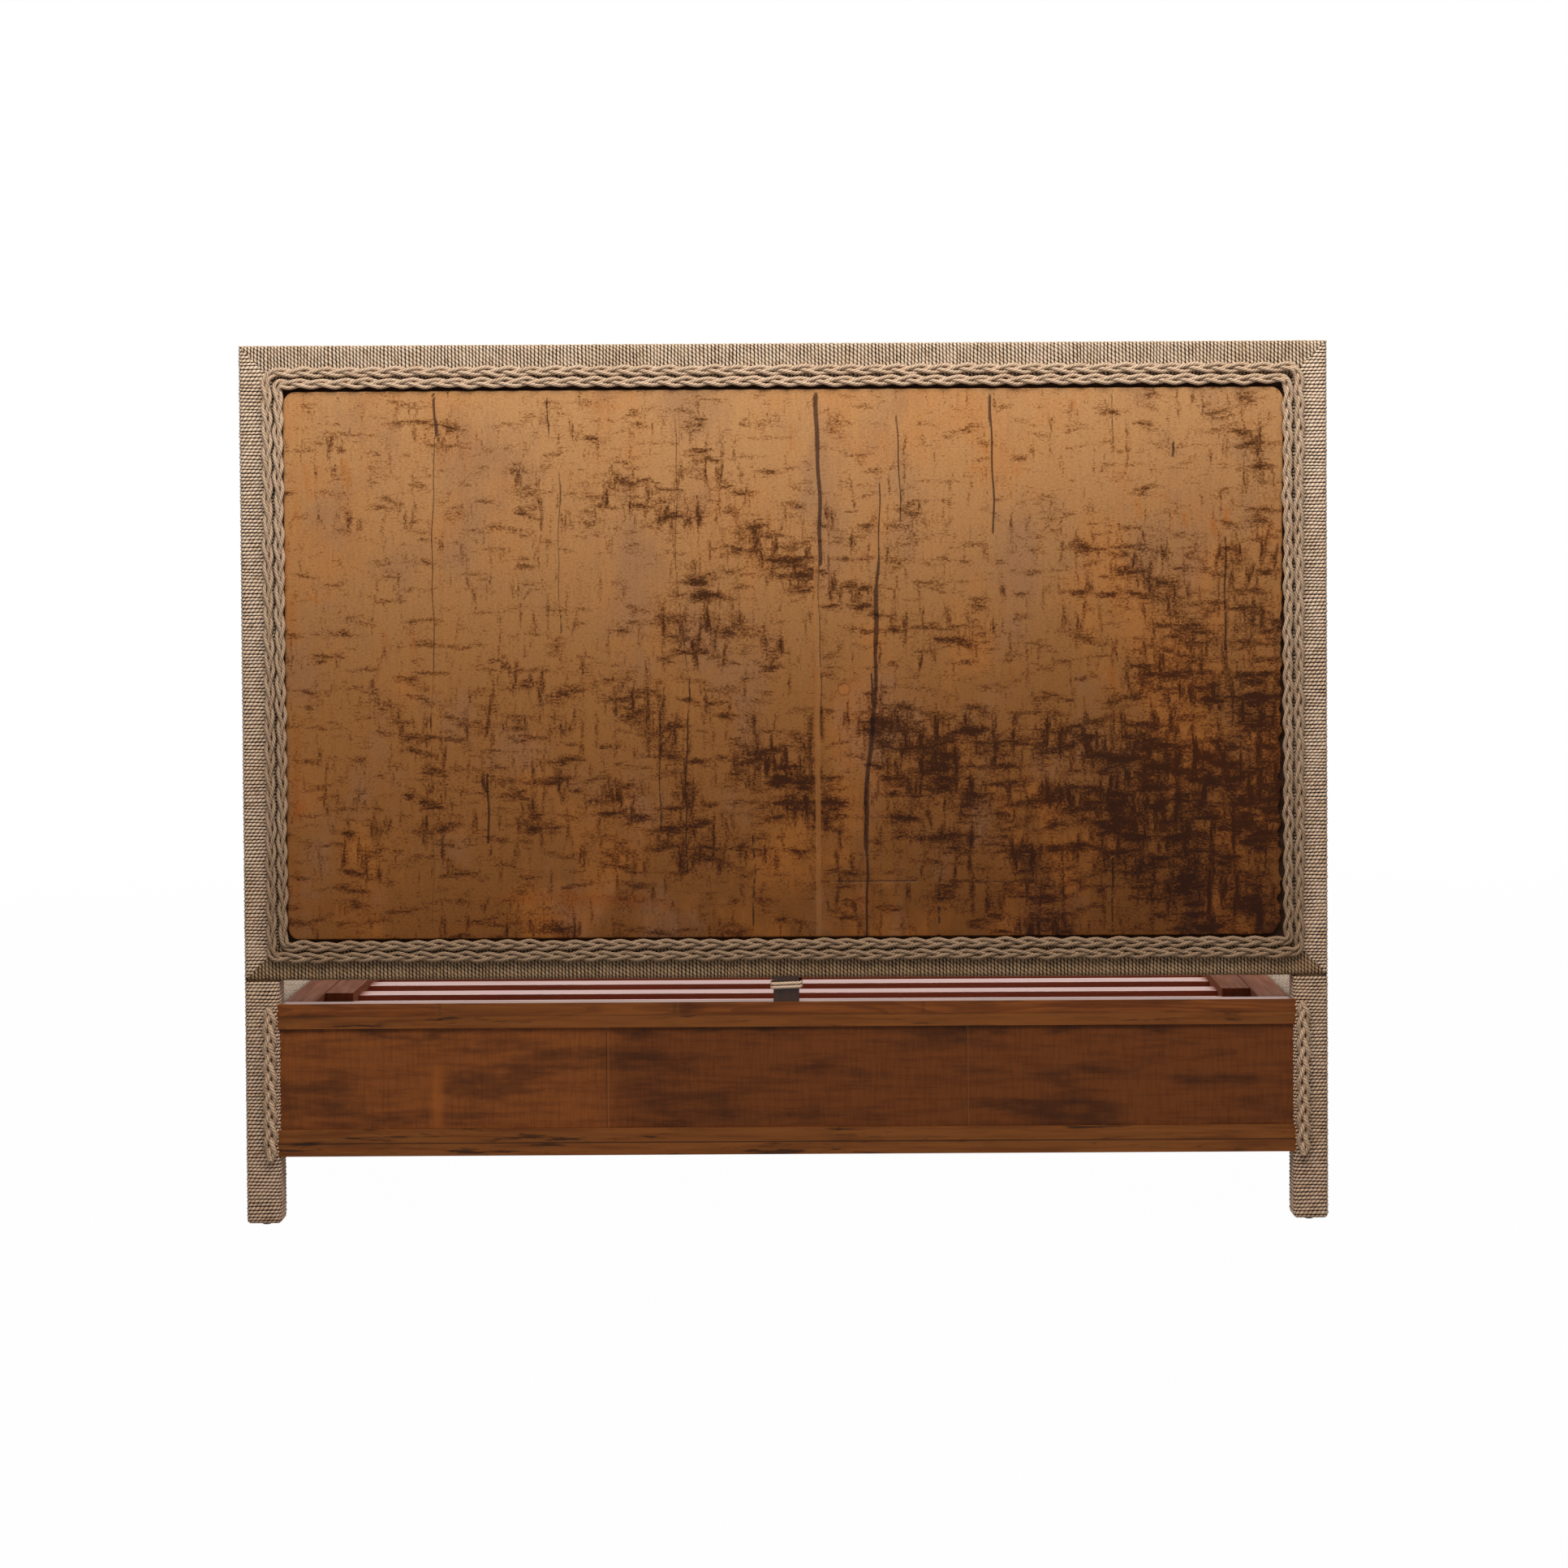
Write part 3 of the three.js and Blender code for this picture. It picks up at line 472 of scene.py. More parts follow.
def coarseArcs(low, high, total):
    # arcs at the round corners and at even steps along the flats, for long sections
    radius = wrap["corner"]
    across, along = high[0] - low[0] - 2 * radius, high[1] - low[1] - 2 * radius
    bend = np.pi / 2 * radius * np.linspace(0, 1, wrap["bendSteps"])
    arcs, start = [], 0.0
    for straight in (along, across, along, across):
        arcs.append(start + bend)
        steps = max(2, round(straight / (across + along) * wrap["flats"]))
        start += bend[-1]
        arcs.append(start + straight * np.arange(1, steps) / steps)
        start += straight
    return np.concatenate(arcs + [[start]]) * total / start


# plaits of three twisted cords

plait = dict(
    radius=3.2 * mm, reach=5.5 * mm, rise=1.7 * mm, lay=5.7 * mm, cycle=104 * mm, drawn=0.97,
    thin=0.76, swell=0.3, fullness=0.8,  # a cord's radius in the groove, and its growth over a ply
    laySteps=3, sides=12, plainSides=6, edge=0.245,
    wander=0.3 * mm, wanderWaves=(17, 41, 73), swings=((0.12, 23, 8), (0.08, 57, -9)),
)


def twistedCord(centre, facing, tag, loop, sides=plait["sides"], radius=plait["radius"]):
    # a round cord of one ply to three sides: t = steps along it / laySteps + plies x angle / turn,
    # and its radius falls at whole t, in the groove between the plies
    if loop:
        ahead = np.roll(centre, -1, 0) - np.roll(centre, 1, 0)
    else:
        ahead = np.gradient(centre, axis=0)
    ahead = ahead / np.linalg.norm(ahead, axis=1, keepdims=True)
    side = facing - ahead * (ahead * facing).sum(1, keepdims=True)
    side = side / np.linalg.norm(side, axis=1, keepdims=True)
    up = np.cross(ahead, side)
    steps = len(centre) + (1 if loop else 0)
    angle = np.linspace(0, 2 * np.pi, sides + 1)
    plies = np.arange(steps)[:, None] / plait["laySteps"] + (sides // 3) * angle[None, :] / (2 * np.pi)
    cord = np.stack((tag + 0.5 + plait["edge"] * (1 - np.cos(angle))[None, :] + 0 * plies, plies), -1)
    full = np.abs(np.sin(np.pi * plies[:len(centre), :-1])) ** plait["fullness"]
    size = radius * (plait["thin"] + plait["swell"] * full)
    ring = np.cos(angle[:-1])[None, :, None] * side[:, None] + np.sin(angle[:-1])[None, :, None] * up[:, None]
    place = centre[:, None] + ring * size[..., None]
    return sheetPart(place, cord, loop)


def swayed(p):
    # a sine drawn nearly to straight flanks, so that the three cords lie close
    return np.arcsin(plait["drawn"] * np.sin(p)) / math.asin(plait["drawn"])


def borderPlait(name, low, high, corner, level, facingY, tag, replaced, look, sides=plait["sides"]):
    # three cords round the border, a third of a cycle apart: sideways = reach x a wave of p with
    # straighter flanks than a sine, height = rise x sin 2p
    total = roundOutline(low, high, corner)
    count = plait["laySteps"] * round(total / plait["lay"])
    walked = np.arange(count) / count * total
    flat, outward = roundOutline(low, high, corner, total - walked)
    turned = walked / total * round(total / plait["cycle"])
    rng = np.random.default_rng(tag)

    def wave(number):
        return np.sin(2 * np.pi * (number * walked / total + rng.uniform()))

    wander = sum(wave(number) for number in plait["wanderWaves"]) * plait["wander"]
    parts = []
    for k in range(3):
        p = 2 * np.pi * (turned + k / 3)
        swing = 1 + sum(share * wave(first + step * k) for share, first, step in plait["swings"])
        offset = (plait["reach"] * swing * swayed(p) + wander)[:, None] * outward
        centre = np.column_stack((
            flat[:, 0] + offset[:, 0],
            level + facingY * plait["rise"] * np.sin(2 * p),
            flat[:, 1] + offset[:, 1],
        ))
        parts.append(twistedCord(centre, np.array([0.0, facingY, 0.0]), tag + k, True, sides))
    return meshPiece(name, parts, look, replaced)


legPlait = dict(
    inset=15.5 * mm, top=0.336, bottom=0.102, out=5.2 * mm,  # from the post's inner side, up, and behind
    taper=14 * mm, tip=0.25, pace=1.2, wide=1.35, high=1.2, thick=1.2,  # times the border plaits' sizes
)


def straightPlait(name, x, level, tag, replaced, look):
    # one plait hanging down a leg, its strands drawn together at both ends
    length = legPlait["top"] - legPlait["bottom"]
    count = plait["laySteps"] * round(length / plait["lay"]) + 1
    walked = np.linspace(0, length, count)
    drawn = np.clip(np.minimum(walked, length - walked) / legPlait["taper"], legPlait["tip"], 1)
    radius = legPlait["thick"] * plait["radius"]
    parts = []
    for k in range(3):
        p = 2 * np.pi * (walked / plait["cycle"] * legPlait["pace"] + k / 3)
        centre = np.column_stack((
            x + plait["reach"] * legPlait["wide"] * swayed(p) * drawn,
            level - plait["rise"] * legPlait["high"] * np.sin(2 * p) * drawn,
            legPlait["top"] - walked,
        ))
        parts.append(twistedCord(centre, np.array([0.0, -1.0, 0.0]), tag + k, False, radius=radius))
    return meshPiece(name, parts, look, replaced)


# the wraps and plaits of the bed, lit and shaded copies of one cord; each look's tint at the floor and at the
# headboard's top paints shade below and light above

cordLook = rushLook("rushCord", (0.97, 0.81, 0.72), (1.18, 1.1, 1.04))
topLook = rushLook("rushCordTop", (1.0, 0.93, 0.87), (1.0, 0.93, 0.87))
# painted shade: the plaits darkened, most of all towards the floor
plaitLook = rushLook("rushPlait", (0.27, 0.175, 0.1), (0.9, 0.77, 0.67))
legLook = rushLook("rushLegPlait", (0.82, 0.67, 0.56), (0.82, 0.67, 0.56))
# painted shade: the bottom rail's cord darkened all over, in the shadow under the bottom border plait
shadedLowLook = rushLook("rushCordLowShaded", (0.54, 0.42, 0.3), (0.54, 0.42, 0.3))
railLook = rushLook("rushCordRails", (0.94, 0.86, 0.78), (0.98, 0.92, 0.86), ribbed=0.25)

postOut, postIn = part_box("foot_post_wrap_right")[1].x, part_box("foot_post_wrap_right")[0].x
headDeep = postOut - postIn
topHigh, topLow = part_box("top_rail_wrap")[1].z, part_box("headboard_top_rail")[0].z - wrapThick
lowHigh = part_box("headboard_bottom_rail")[1].z + wrapThick
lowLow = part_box("headboard_bottom_rail")[0].z - wrapThick
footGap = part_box("headboard_post_left")[0].z
seamGap = 0.1 * mm  # between two wraps that meet
legRound = 7 * mm  # rounding of a wrap's end at the floor


def mitre(piece, side, corner, slope, keepRail):
    # cuts along the line where the turns of post and rail meet at 45 degrees
    outward = np.array([side, 0.0, slope]) / math.sqrt(2)
    if not keepRail:
        outward = -outward
    point = np.array([side * corner[0], 0.0, corner[1]]) - outward * seamGap
    cutOff(piece, point.tolist(), outward.tolist())


def headboardWraps():
    y = (backFace, backFace + headDeep)
    for side, word in ((-1, "left"), (1, "right")):
        x = sorted((side * postIn, side * postOut))
        source = "post_wrap_" + word
        upper = wrapRound("postCord_" + word, [source], 2, (x[0], y[0], lowLow), (x[1], y[1], topHigh),
                          11 + side, cordLook)
        mitre(upper, side, (postOut, topHigh), -1, False)
        mitre(upper, side, (postOut, lowLow), 1, False)
        wrapRound("legCord_" + word, [source], 2, (x[0], y[0], footGap), (x[1], y[1], lowLow - seamGap),
                  21 + side, cordLook, endRound=(legRound, 0))
        straightPlait("legPlait_" + word, side * (postIn + legPlait["inset"]), backFace - legPlait["out"],
                      800 + 10 * side, [source], legLook)
    for word, low, high, seed, look, slope, corner, rows in (
        ("top", topLow, topHigh, 31, topLook, -1, topHigh, fineRows),
        ("bottom", lowLow, lowHigh, 32, shadedLowLook, 1, lowLow, plainRows),
    ):
        rail = wrapRound(word + "RailCord", [word + "_rail_wrap"], 0, (-postOut, y[0], low),
                         (postOut, y[1], high), seed, look, rows=rows)
        for side in (-1, 1):
            mitre(rail, side, (postOut, corner), slope, True)
    print("headboard wraps done")


border = dict(
    inset=8.5 * mm, topDrop=14 * mm, bottomRise=7 * mm,  # from the CAD braids' outlines
    apart=17 * mm, outerCorner=14 * mm, innerCorner=8 * mm, out=4.2 * mm,
)


def borders():
    # outer and inner plait behind the bed, and the same pair on the front
    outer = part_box("braid_right")[1].x - border["inset"]
    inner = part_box("braid_right")[0].x + border["inset"]
    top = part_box("braid_top")[1].z - border["topDrop"]
    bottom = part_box("braid_bottom")[0].z + border["bottomRise"]
    back = ["braid_left", "braid_right", "braid_top", "braid_bottom"]
    front = ["top_rail_wrap", "bottom_rail_wrap", "post_wrap_left", "post_wrap_right"]
    for word, reach, step, corner, tag in (
        ("outer", outer, 0, border["outerCorner"], 900),
        ("inner", inner, border["apart"], border["innerCorner"], 910),
    ):
        low, high = (-reach, bottom + step), (reach, top - step)
        borderPlait(word + "PlaitBack", low, high, corner, backFace - border["out"], -1, tag, back, plaitLook)
        borderPlait(word + "PlaitFront", low, high, corner, backFace + headDeep + border["out"], 1, tag + 20,
                    front, plaitLook, plait["plainSides"])
    print("border plaits done")


footPost = dict(lowRound=legRound, highRound=5 * mm)


def bedWraps():
    for word in ("left", "right"):
        low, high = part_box("side_rail_wrap_" + word)
        wrapRound("sideRailCord_" + word, ["side_rail_wrap_" + word], 1, low, high, 41 + len(word), railLook,
                  True, rows=plainRows)
        low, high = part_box("foot_post_wrap_" + word)
        low = (low.x, low.y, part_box("foot_post_" + word)[0].z)
        wrapRound("footPostCord_" + word, ["foot_post_wrap_" + word], 2, low, high, 43 + len(word), cordLook,
                  endRound=(footPost["lowRound"], footPost["highRound"]), rows=plainRows)
    low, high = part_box("foot_rail_wrap")
    wrapRound("footRailCord", ["foot_rail_wrap"], 0, low, high, 47, railLook, True, rows=plainRows)
    print("bed wraps done")


binding = dict(radius=2.6 * mm, corner=5 * mm, turns=2, start=0.55, cordShare=0.96)


def postBinding():
    # two turns of the same cord round the centre post, climbing one pitch a turn
    low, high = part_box("centre_post_binding")
    radius = binding["radius"]
    flatLow, flatHigh = (low.x + radius, low.y + radius), (high.x - radius, high.y - radius)
    total = roundOutline(flatLow, flatHigh, binding["corner"])
    length = binding["turns"] * total
    count = plait["laySteps"] * round(length / wrap["lay"]) + 1
    walked = np.linspace(0, length, count)
    flat, outward = roundOutline(flatLow, flatHigh, binding["corner"], walked + total * binding["start"])
    centre = np.column_stack((flat, low.z + radius + (high.z - low.z - 2 * radius) * walked / length))
    facing = np.column_stack((outward, np.zeros(count)))
    part = twistedCord(centre, facing, 990, False, radius=radius * binding["cordShare"])
    meshPiece("postBindingCord", [part], cordLook, ["centre_post_binding"])
    print("post binding done")


headboardWraps()
borders()
bedWraps()
postBinding()


# woven front of the headboard

weave = dict(
    cell=12.2 * mm, cord=6.1 * mm, lay=7 * mm, rise=2.4 * mm, steps=4, fullness=0.6,
    ends=0.35, bow=0.8, bowStart=0.1,  # height where a pair dips under, and the part of a half wave over it
    proud=0.3 * mm, face=0.15 * mm, back=0.05 * mm, levelTag=4000, uprightTag=7000,
)


def wovenFront():
    # two over, two under: each square cell holds a pair of cords, upright or level by turns;
    # height = rise x |sin across|^fullness x a bow along the pair that dips under its neighbours
    low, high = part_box("headboard_woven_panel")
    steps, step = weave["steps"], weave["cell"] / weave["steps"]
    middle = (high.x + low.x) / 2
    for word, x0, x1 in (("left", low.x, middle), ("right", middle, high.x)):
        columns, rows = round((x1 - x0) / step) + 1, round((high.z - low.z) / step) + 1
        x, z = np.meshgrid(np.linspace(x0, x1, columns), np.linspace(low.z, high.z, rows))
        i, j = np.meshgrid(np.arange(columns), np.arange(rows))
        u, v = (i % steps) / steps, (j % steps) / steps
        upright = ((i // steps + j // steps) % 2) == 0
        across, along = np.where(upright, u, v), np.where(upright, v, u)
        strand = np.abs(np.sin(2 * np.pi * across)) ** weave["fullness"]
        bow = np.sin(np.pi * (along * weave["bow"] + weave["bowStart"]))
        height = weave["rise"] * strand * (weave["ends"] + (1 - weave["ends"]) * bow)
        edge = (i == 0) | (j == 0) | (i == columns - 1) | (j == rows - 1)
        height = np.where(edge, 0, height + weave["proud"])
        place = np.stack((x, high.y + weave["face"] + height, z), -1)
        corners, numbers = (values[:, ::-1] for values in gridCorners(rows, columns))
        cell = corners.min(1) // steps
        level = (cell.sum(1) % 2)[:, None] == 1
        uSteps, vSteps = corners[..., 1] / steps * 2, corners[..., 0] / steps * 2
        lays = weave["cord"] / weave["lay"]
        cord = np.stack((
            np.where(level, vSteps + weave["levelTag"], uSteps + weave["uprightTag"]),
            np.where(level, uSteps * lays + vSteps, vSteps * lays - uSteps),
        ), -1).reshape(-1, 2)
        places, faces = backedSheet(place, numbers, high.y + weave["back"])
        plain = np.zeros((sum(map(len, faces)) - len(cord), 2))
        meshPiece("wovenFront_" + word, [(places, faces, np.vstack((cord, plain)))], railLook)
    print("woven front done")


wovenFront()


# stained back panel

# marks on the panel in millimetres: across and up at each end, width, strength
cracks = [
    (-528, 1265, -527, 1201, 4.2, 1), (-530, 1201, -533, 846, 2, 0.75), (-535, 846, -536, 444, 1.7, 0.55),
    (52, 1262, 51, 1184, 7.4, 1), (51, 1184, 56, 1006, 6.6, 1), (54, 1006, 54, 742, 2.5, 0.65),
    (144, 1129, 144, 1007, 2.7, 0.8), (144, 1007, 142, 963, 5.2, 1), (142, 963, 139, 883, 7.9, 1),
    (139, 883, 135, 789, 6.2, 1), (135, 789, 125, 654, 7.4, 1), (130, 838, 131, 794, 3.2, 0.9),
    (125, 654, 123, 575, 8.1, 1), (123, 575, 122, 436, 4.2, 0.95), (173, 1231, 176, 1066, 2.5, 0.85),
    (316, 1260, 317, 1050, 3.2, 0.95), (317, 1050, 318, 869, 1.6, 0.35), (500, 1259, 500, 1184, 2.5, 0.7),
    (-163, 1232, -163, 995, 2.5, 0.6), (-161, 995, -146, 810, 2.2, 0.65), (-145, 837, -152, 537, 3, 0.8),
    (-188, 791, -189, 602, 2.7, 0.75), (-356, 1264, -356, 1194, 2.7, 0.75),
    (-340, 1144, -340, 903, 1.8, 0.7), (-450, 687, -452, 582, 3.9, 0.95), (-49, 596, -50, 454, 3, 0.85),
    (232, 555, 231, 436, 2.5, 0.8), (497, 577, 494, 437, 3, 0.85), (592, 1186, 592, 1163, 3.2, 0.85),
    (668, 1041, 671, 873, 3.9, 0.8), (74, 523, 200, 523, 2.5, 0.85), (245, 522, 382, 520, 2.2, 0.6),
    (-338, 778, -338, 593, 2, 0.5),
]
smears = [
    (-401, 945, -393, 865, 2.7, 0.9), (-385, 968, -401, 945, 2.7, 0.85), (-385, 968, -362, 968, 2.7, 0.7),
    (-393, 865, -380, 876, 2.7, 0.7), (-358, 1045, -358, 1000, 5.5, 0.55),
    (-358, 963, -358, 894, 5.5, 0.6), (-395, 1132, -396, 1075, 4.9, 0.65),
    (-493, 1175, -493, 1142, 4.9, 0.45), (-493, 1112, -493, 1079, 4.9, 0.55),
    (-513, 1195, -512, 1158, 5.5, 0.5), (-671, 1211, -680, 1175, 6.2, 0.5),
    (-668, 1090, -667, 1051, 5.5, 0.4), (-656, 1035, -647, 912, 8.6, 0.28),
    (-430, 1056, -249, 1055, 2.7, 0.4), (-546, 1041, -465, 1040, 4.9, 0.5),
    (-359, 940, -279, 939, 4.9, 0.45), (-447, 864, -414, 862, 3.7, 0.5), (-424, 856, -420, 851, 6.2, 0.7),
    (-401, 1049, -339, 1042, 9.8, 0.4), (-380, 1112, -376, 1109, 8.6, 0.55),
    (-580, 1172, -564, 1155, 7.4, 0.4), (-594, 1106, -591, 1079, 7.4, 0.42),
    (-627, 1180, -624, 1177, 6.2, 0.45), (-496, 1041, -495, 1039, 7.4, 0.55),
    (-466, 1045, -465, 1039, 6.2, 0.55), (-500, 956, -496, 964, 6.2, 0.5),
    (-554, 968, -546, 934, 8.6, 0.4), (-526, 895, -517, 892, 7.4, 0.55),
    (-615, 921, -612, 914, 7.4, 0.45), (-257, 1195, -247, 1168, 8.6, 0.4),
    (-318, 1143, -318, 1119, 3.7, 0.6), (-339, 1178, -317, 1187, 3.7, 0.4),
    (-310, 1092, -305, 1082, 8.6, 0.4), (-269, 889, -259, 873, 9.8, 0.45),
    (-228, 1232, -225, 1222, 4.9, 0.5), (-199, 1207, -199, 1190, 4.3, 0.55),
    (-179, 1237, -155, 1232, 4.9, 0.6), (-137, 1231, -134, 1227, 4.9, 0.5),
    (-136, 1204, -135, 1170, 6.2, 0.6), (-89, 1211, -78, 1205, 6.2, 0.65),
    (-39, 1214, -29, 1206, 6.8, 0.6), (-83, 1247, -75, 1243, 4.9, 0.5), (-84, 1146, -71, 1127, 9.8, 0.6),
    (-109, 1137, -108, 1110, 5.5, 0.55), (-228, 1091, -189, 1079, 12.3, 0.42),
    (-179, 1070, -177, 1068, 6.2, 0.7), (-255, 1050, -228, 1052, 5.5, 0.55),
    (-255, 1158, -161, 1157, 3.2, 0.5), (-105, 1073, -67, 1067, 6.2, 0.5),
    (-67, 1083, -27, 1080, 3.2, 0.45), (-38, 1019, -19, 1007, 16, 0.55), (-11, 1050, -6, 988, 9.8, 0.62),
    (-32, 984, -30, 975, 9.8, 0.45), (34, 1049, 37, 1021, 6.2, 0.6), (-108, 985, -93, 974, 9.8, 0.5),
    (-145, 988, -140, 956, 8.6, 0.55), (-257, 1004, -145, 1000, 3.9, 0.5),
    (-102, 911, -76, 908, 6.2, 0.5), (-51, 906, -29, 911, 8.6, 0.6), (-161, 921, -152, 911, 9.8, 0.65),
    (-220, 897, -182, 892, 11.1, 0.55), (-127, 884, -66, 878, 7.4, 0.62), (-32, 896, -30, 875, 6.2, 0.55),
    (16, 961, 19, 957, 8.6, 0.5), (79, 963, 104, 964, 12.3, 0.6), (100, 971, 101, 950, 6.2, 0.7),
    (122, 960, 125, 958, 8.6, 0.6), (72, 1224, 67, 1207, 9.8, 0.6), (64, 1183, 67, 1179, 6.2, 0.5),
    (58, 1156, 63, 1141, 7.4, 0.5), (127, 1109, 128, 1107, 7.4, 0.55), (101, 1054, 159, 1052, 6.2, 0.6),
    (99, 1081, 119, 1081, 4.3, 0.45), (214, 1235, 233, 1230, 7.4, 0.5), (178, 1077, 190, 1082, 7.4, 0.5),
    (202, 1038, 222, 1037, 7.4, 0.4), (180, 983, 190, 978, 7.4, 0.45), (159, 950, 168, 940, 7.4, 0.5),
    (219, 904, 245, 899, 11.1, 0.55), (67, 895, 104, 901, 11.1, 0.5), (55, 945, 57, 858, 6.2, 0.5),
    (233, 942, 251, 940, 6.2, 0.5), (499, 1178, 515, 1171, 5.5, 0.95), (472, 1149, 483, 1143, 4.9, 0.7),
    (419, 1189, 499, 1186, 2.2, 0.5), (483, 1143, 524, 1136, 3.7, 0.5), (559, 1146, 564, 1143, 4.9, 0.6),
    (651, 1217, 692, 1230, 6.2, 0.6), (666, 1209, 670, 1191, 6.2, 0.55),
    (731, 1187, 715, 1134, 11.1, 0.55), (517, 1240, 518, 1237, 6.2, 0.6),
    (408, 1224, 419, 1202, 3.7, 0.6), (602, 1186, 604, 1179, 6.2, 0.75), (368, 1047, 473, 1043, 3.7, 0.4),
    (422, 1058, 425, 1036, 4.9, 0.6), (296, 1060, 318, 1055, 4.9, 0.6), (350, 1067, 367, 1066, 4.9, 0.5),
    (271, 1226, 307, 1225, 6.2, 0.4), (662, 1113, 663, 1078, 3.2, 0.85), (565, 1083, 567, 1079, 5.5, 0.6),
    (559, 1054, 565, 1050, 7.4, 0.6), (540, 985, 549, 997, 9.8, 0.65), (565, 1003, 590, 999, 8.6, 0.5),
    (614, 1012, 639, 1008, 9.8, 0.7), (635, 1003, 636, 991, 7.4, 0.6), (543, 959, 596, 953, 11.1, 0.75),
    (559, 948, 560, 880, 9.8, 0.75), (602, 977, 615, 975, 8.6, 0.6), (615, 954, 618, 917, 7.4, 0.6),
    (635, 951, 636, 923, 7.4, 0.55), (606, 914, 674, 907, 6.2, 0.75), (671, 947, 672, 914, 6.2, 0.75),
    (510, 889, 565, 874, 12.3, 0.6), (596, 874, 670, 867, 9.8, 0.6), (449, 978, 452, 974, 4.9, 0.75),
    (269, 894, 323, 887, 13.5, 0.55), (365, 889, 367, 884, 8.6, 0.45), (405, 912, 408, 908, 8.6, 0.4),
    (430, 922, 438, 882, 4.9, 0.7), (432, 854, 433, 844, 7.4, 0.7), (478, 903, 485, 873, 7.4, 0.6),
    (711, 1080, 715, 1039, 7.4, 0.6), (738, 1064, 731, 990, 11.1, 0.55), (719, 965, 741, 953, 9.8, 0.6),
    (718, 935, 726, 867, 13.5, 0.62), (737, 1162, 741, 1113, 8.6, 0.4), (-428, 855, -444, 806, 4.4, 0.8),
    (-444, 806, -453, 747, 5.4, 0.95), (-420, 855, -408, 806, 5.4, 0.85),
    (-388, 809, -377, 772, 9.8, 0.55), (-398, 775, -393, 744, 4.9, 0.85),
    (-549, 843, -510, 842, 6.2, 0.85), (-394, 843, -289, 843, 4.9, 0.6),
    (-371, 815, -249, 812, 4.4, 0.55), (-520, 768, -371, 768, 4.4, 0.5),
    (-531, 718, -528, 713, 7.4, 0.85), (-532, 818, -522, 785, 8.6, 0.5), (-623, 798, -621, 764, 7.4, 0.6),
    (-605, 830, -595, 776, 8.6, 0.48), (-558, 760, -548, 745, 12.3, 0.5),
    (-311, 771, -306, 768, 8.6, 0.6), (-286, 783, -285, 732, 7.4, 0.7),
    (-656, 671, -642, 624, 11.1, 0.45), (-551, 670, -558, 638, 9.8, 0.5),
    (-567, 601, -553, 607, 7.4, 0.45), (-595, 572, -583, 571, 8.6, 0.85),
    (-639, 586, -632, 577, 8.6, 0.4), (-693, 553, -690, 533, 8.6, 0.45), (-638, 543, -633, 506, 9.8, 0.5),
    (-383, 676, -424, 599, 2.2, 0.7), (-413, 701, -410, 696, 8.6, 0.4), (-332, 693, -279, 692, 4.2, 0.5),
    (-332, 674, -279, 673, 4.2, 0.5), (-332, 655, -279, 655, 4.9, 0.6), (-302, 568, -253, 567, 4.9, 0.5),
    (-296, 557, -250, 555, 6.2, 0.7), (-401, 447, -386, 451, 7.4, 0.75), (-386, 451, -329, 455, 6.2, 0.7),
    (-444, 553, -434, 551, 6.2, 0.6), (-474, 551, -467, 551, 4.9, 0.5), (-462, 535, -457, 523, 6.2, 0.4),
    (-382, 492, -380, 473, 9.8, 0.4), (-212, 784, -207, 727, 14.8, 0.75),
    (-190, 805, -189, 718, 7.4, 0.8), (-258, 812, -190, 807, 5.5, 0.7), (-172, 776, -157, 769, 9.8, 0.7),
    (-185, 725, -151, 718, 9.8, 0.7), (-257, 768, -222, 764, 8.6, 0.5), (-87, 822, -75, 812, 16, 0.5),
    (-114, 818, -66, 816, 6.2, 0.5), (-89, 790, -86, 761, 7.4, 0.65), (-71, 773, -50, 764, 4.9, 0.5),
    (-2, 753, 10, 742, 7.4, 0.55), (39, 772, 37, 706, 8.6, 0.95), (55, 787, 56, 738, 6.2, 0.95),
    (59, 807, 62, 799, 9.8, 0.6), (-25, 717, -11, 699, 18.4, 0.75), (-50, 689, -13, 692, 9.8, 0.65),
    (-13, 674, 12, 656, 14.8, 0.6), (-59, 675, -50, 667, 8.6, 0.65), (-99, 628, -38, 624, 8.6, 0.7),
    (5, 637, 40, 625, 16, 0.7), (57, 621, 58, 615, 7.4, 0.6), (-141, 671, -123, 665, 8.6, 0.65),
    (-140, 631, -135, 599, 13.5, 0.8), (-189, 638, -157, 628, 14.8, 0.5),
    (-238, 604, -201, 599, 7.4, 0.5), (-237, 587, -236, 582, 6.2, 0.7), (-105, 569, -100, 564, 7.4, 0.8),
    (-180, 550, -127, 551, 4.9, 0.7), (-142, 558, -75, 549, 8.6, 0.5), (-100, 485, -81, 493, 7.4, 0.7),
    (-81, 500, -77, 493, 9.8, 0.7), (-77, 495, -50, 500, 7.4, 0.55), (-45, 576, -41, 561, 9.8, 0.5),
    (12, 591, 43, 587, 4.9, 0.6), (39, 588, 40, 563, 6.2, 0.6), (-104, 730, -62, 726, 8.6, 0.55),
    (85, 766, 116, 756, 9.8, 0.5), (87, 785, 121, 777, 6.2, 0.45), (91, 649, 122, 643, 9.8, 0.5),
    (153, 747, 178, 741, 14.8, 0.75), (163, 766, 165, 753, 9.8, 0.6), (171, 729, 227, 716, 9.8, 0.65),
    (184, 784, 196, 786, 6.2, 0.9), (208, 778, 227, 771, 8.6, 0.9), (141, 713, 163, 710, 14.8, 0.7),
    (147, 692, 251, 688, 9.8, 0.65), (190, 673, 254, 666, 12.3, 0.6), (173, 643, 180, 624, 9.8, 0.5),
    (190, 617, 227, 614, 8.6, 0.5), (147, 600, 171, 587, 13.5, 0.5), (170, 569, 190, 563, 6.2, 0.6),
    (214, 573, 259, 573, 6.2, 0.75), (119, 489, 128, 477, 22.1, 0.3), (-253, 460, -216, 454, 17.2, 0.3),
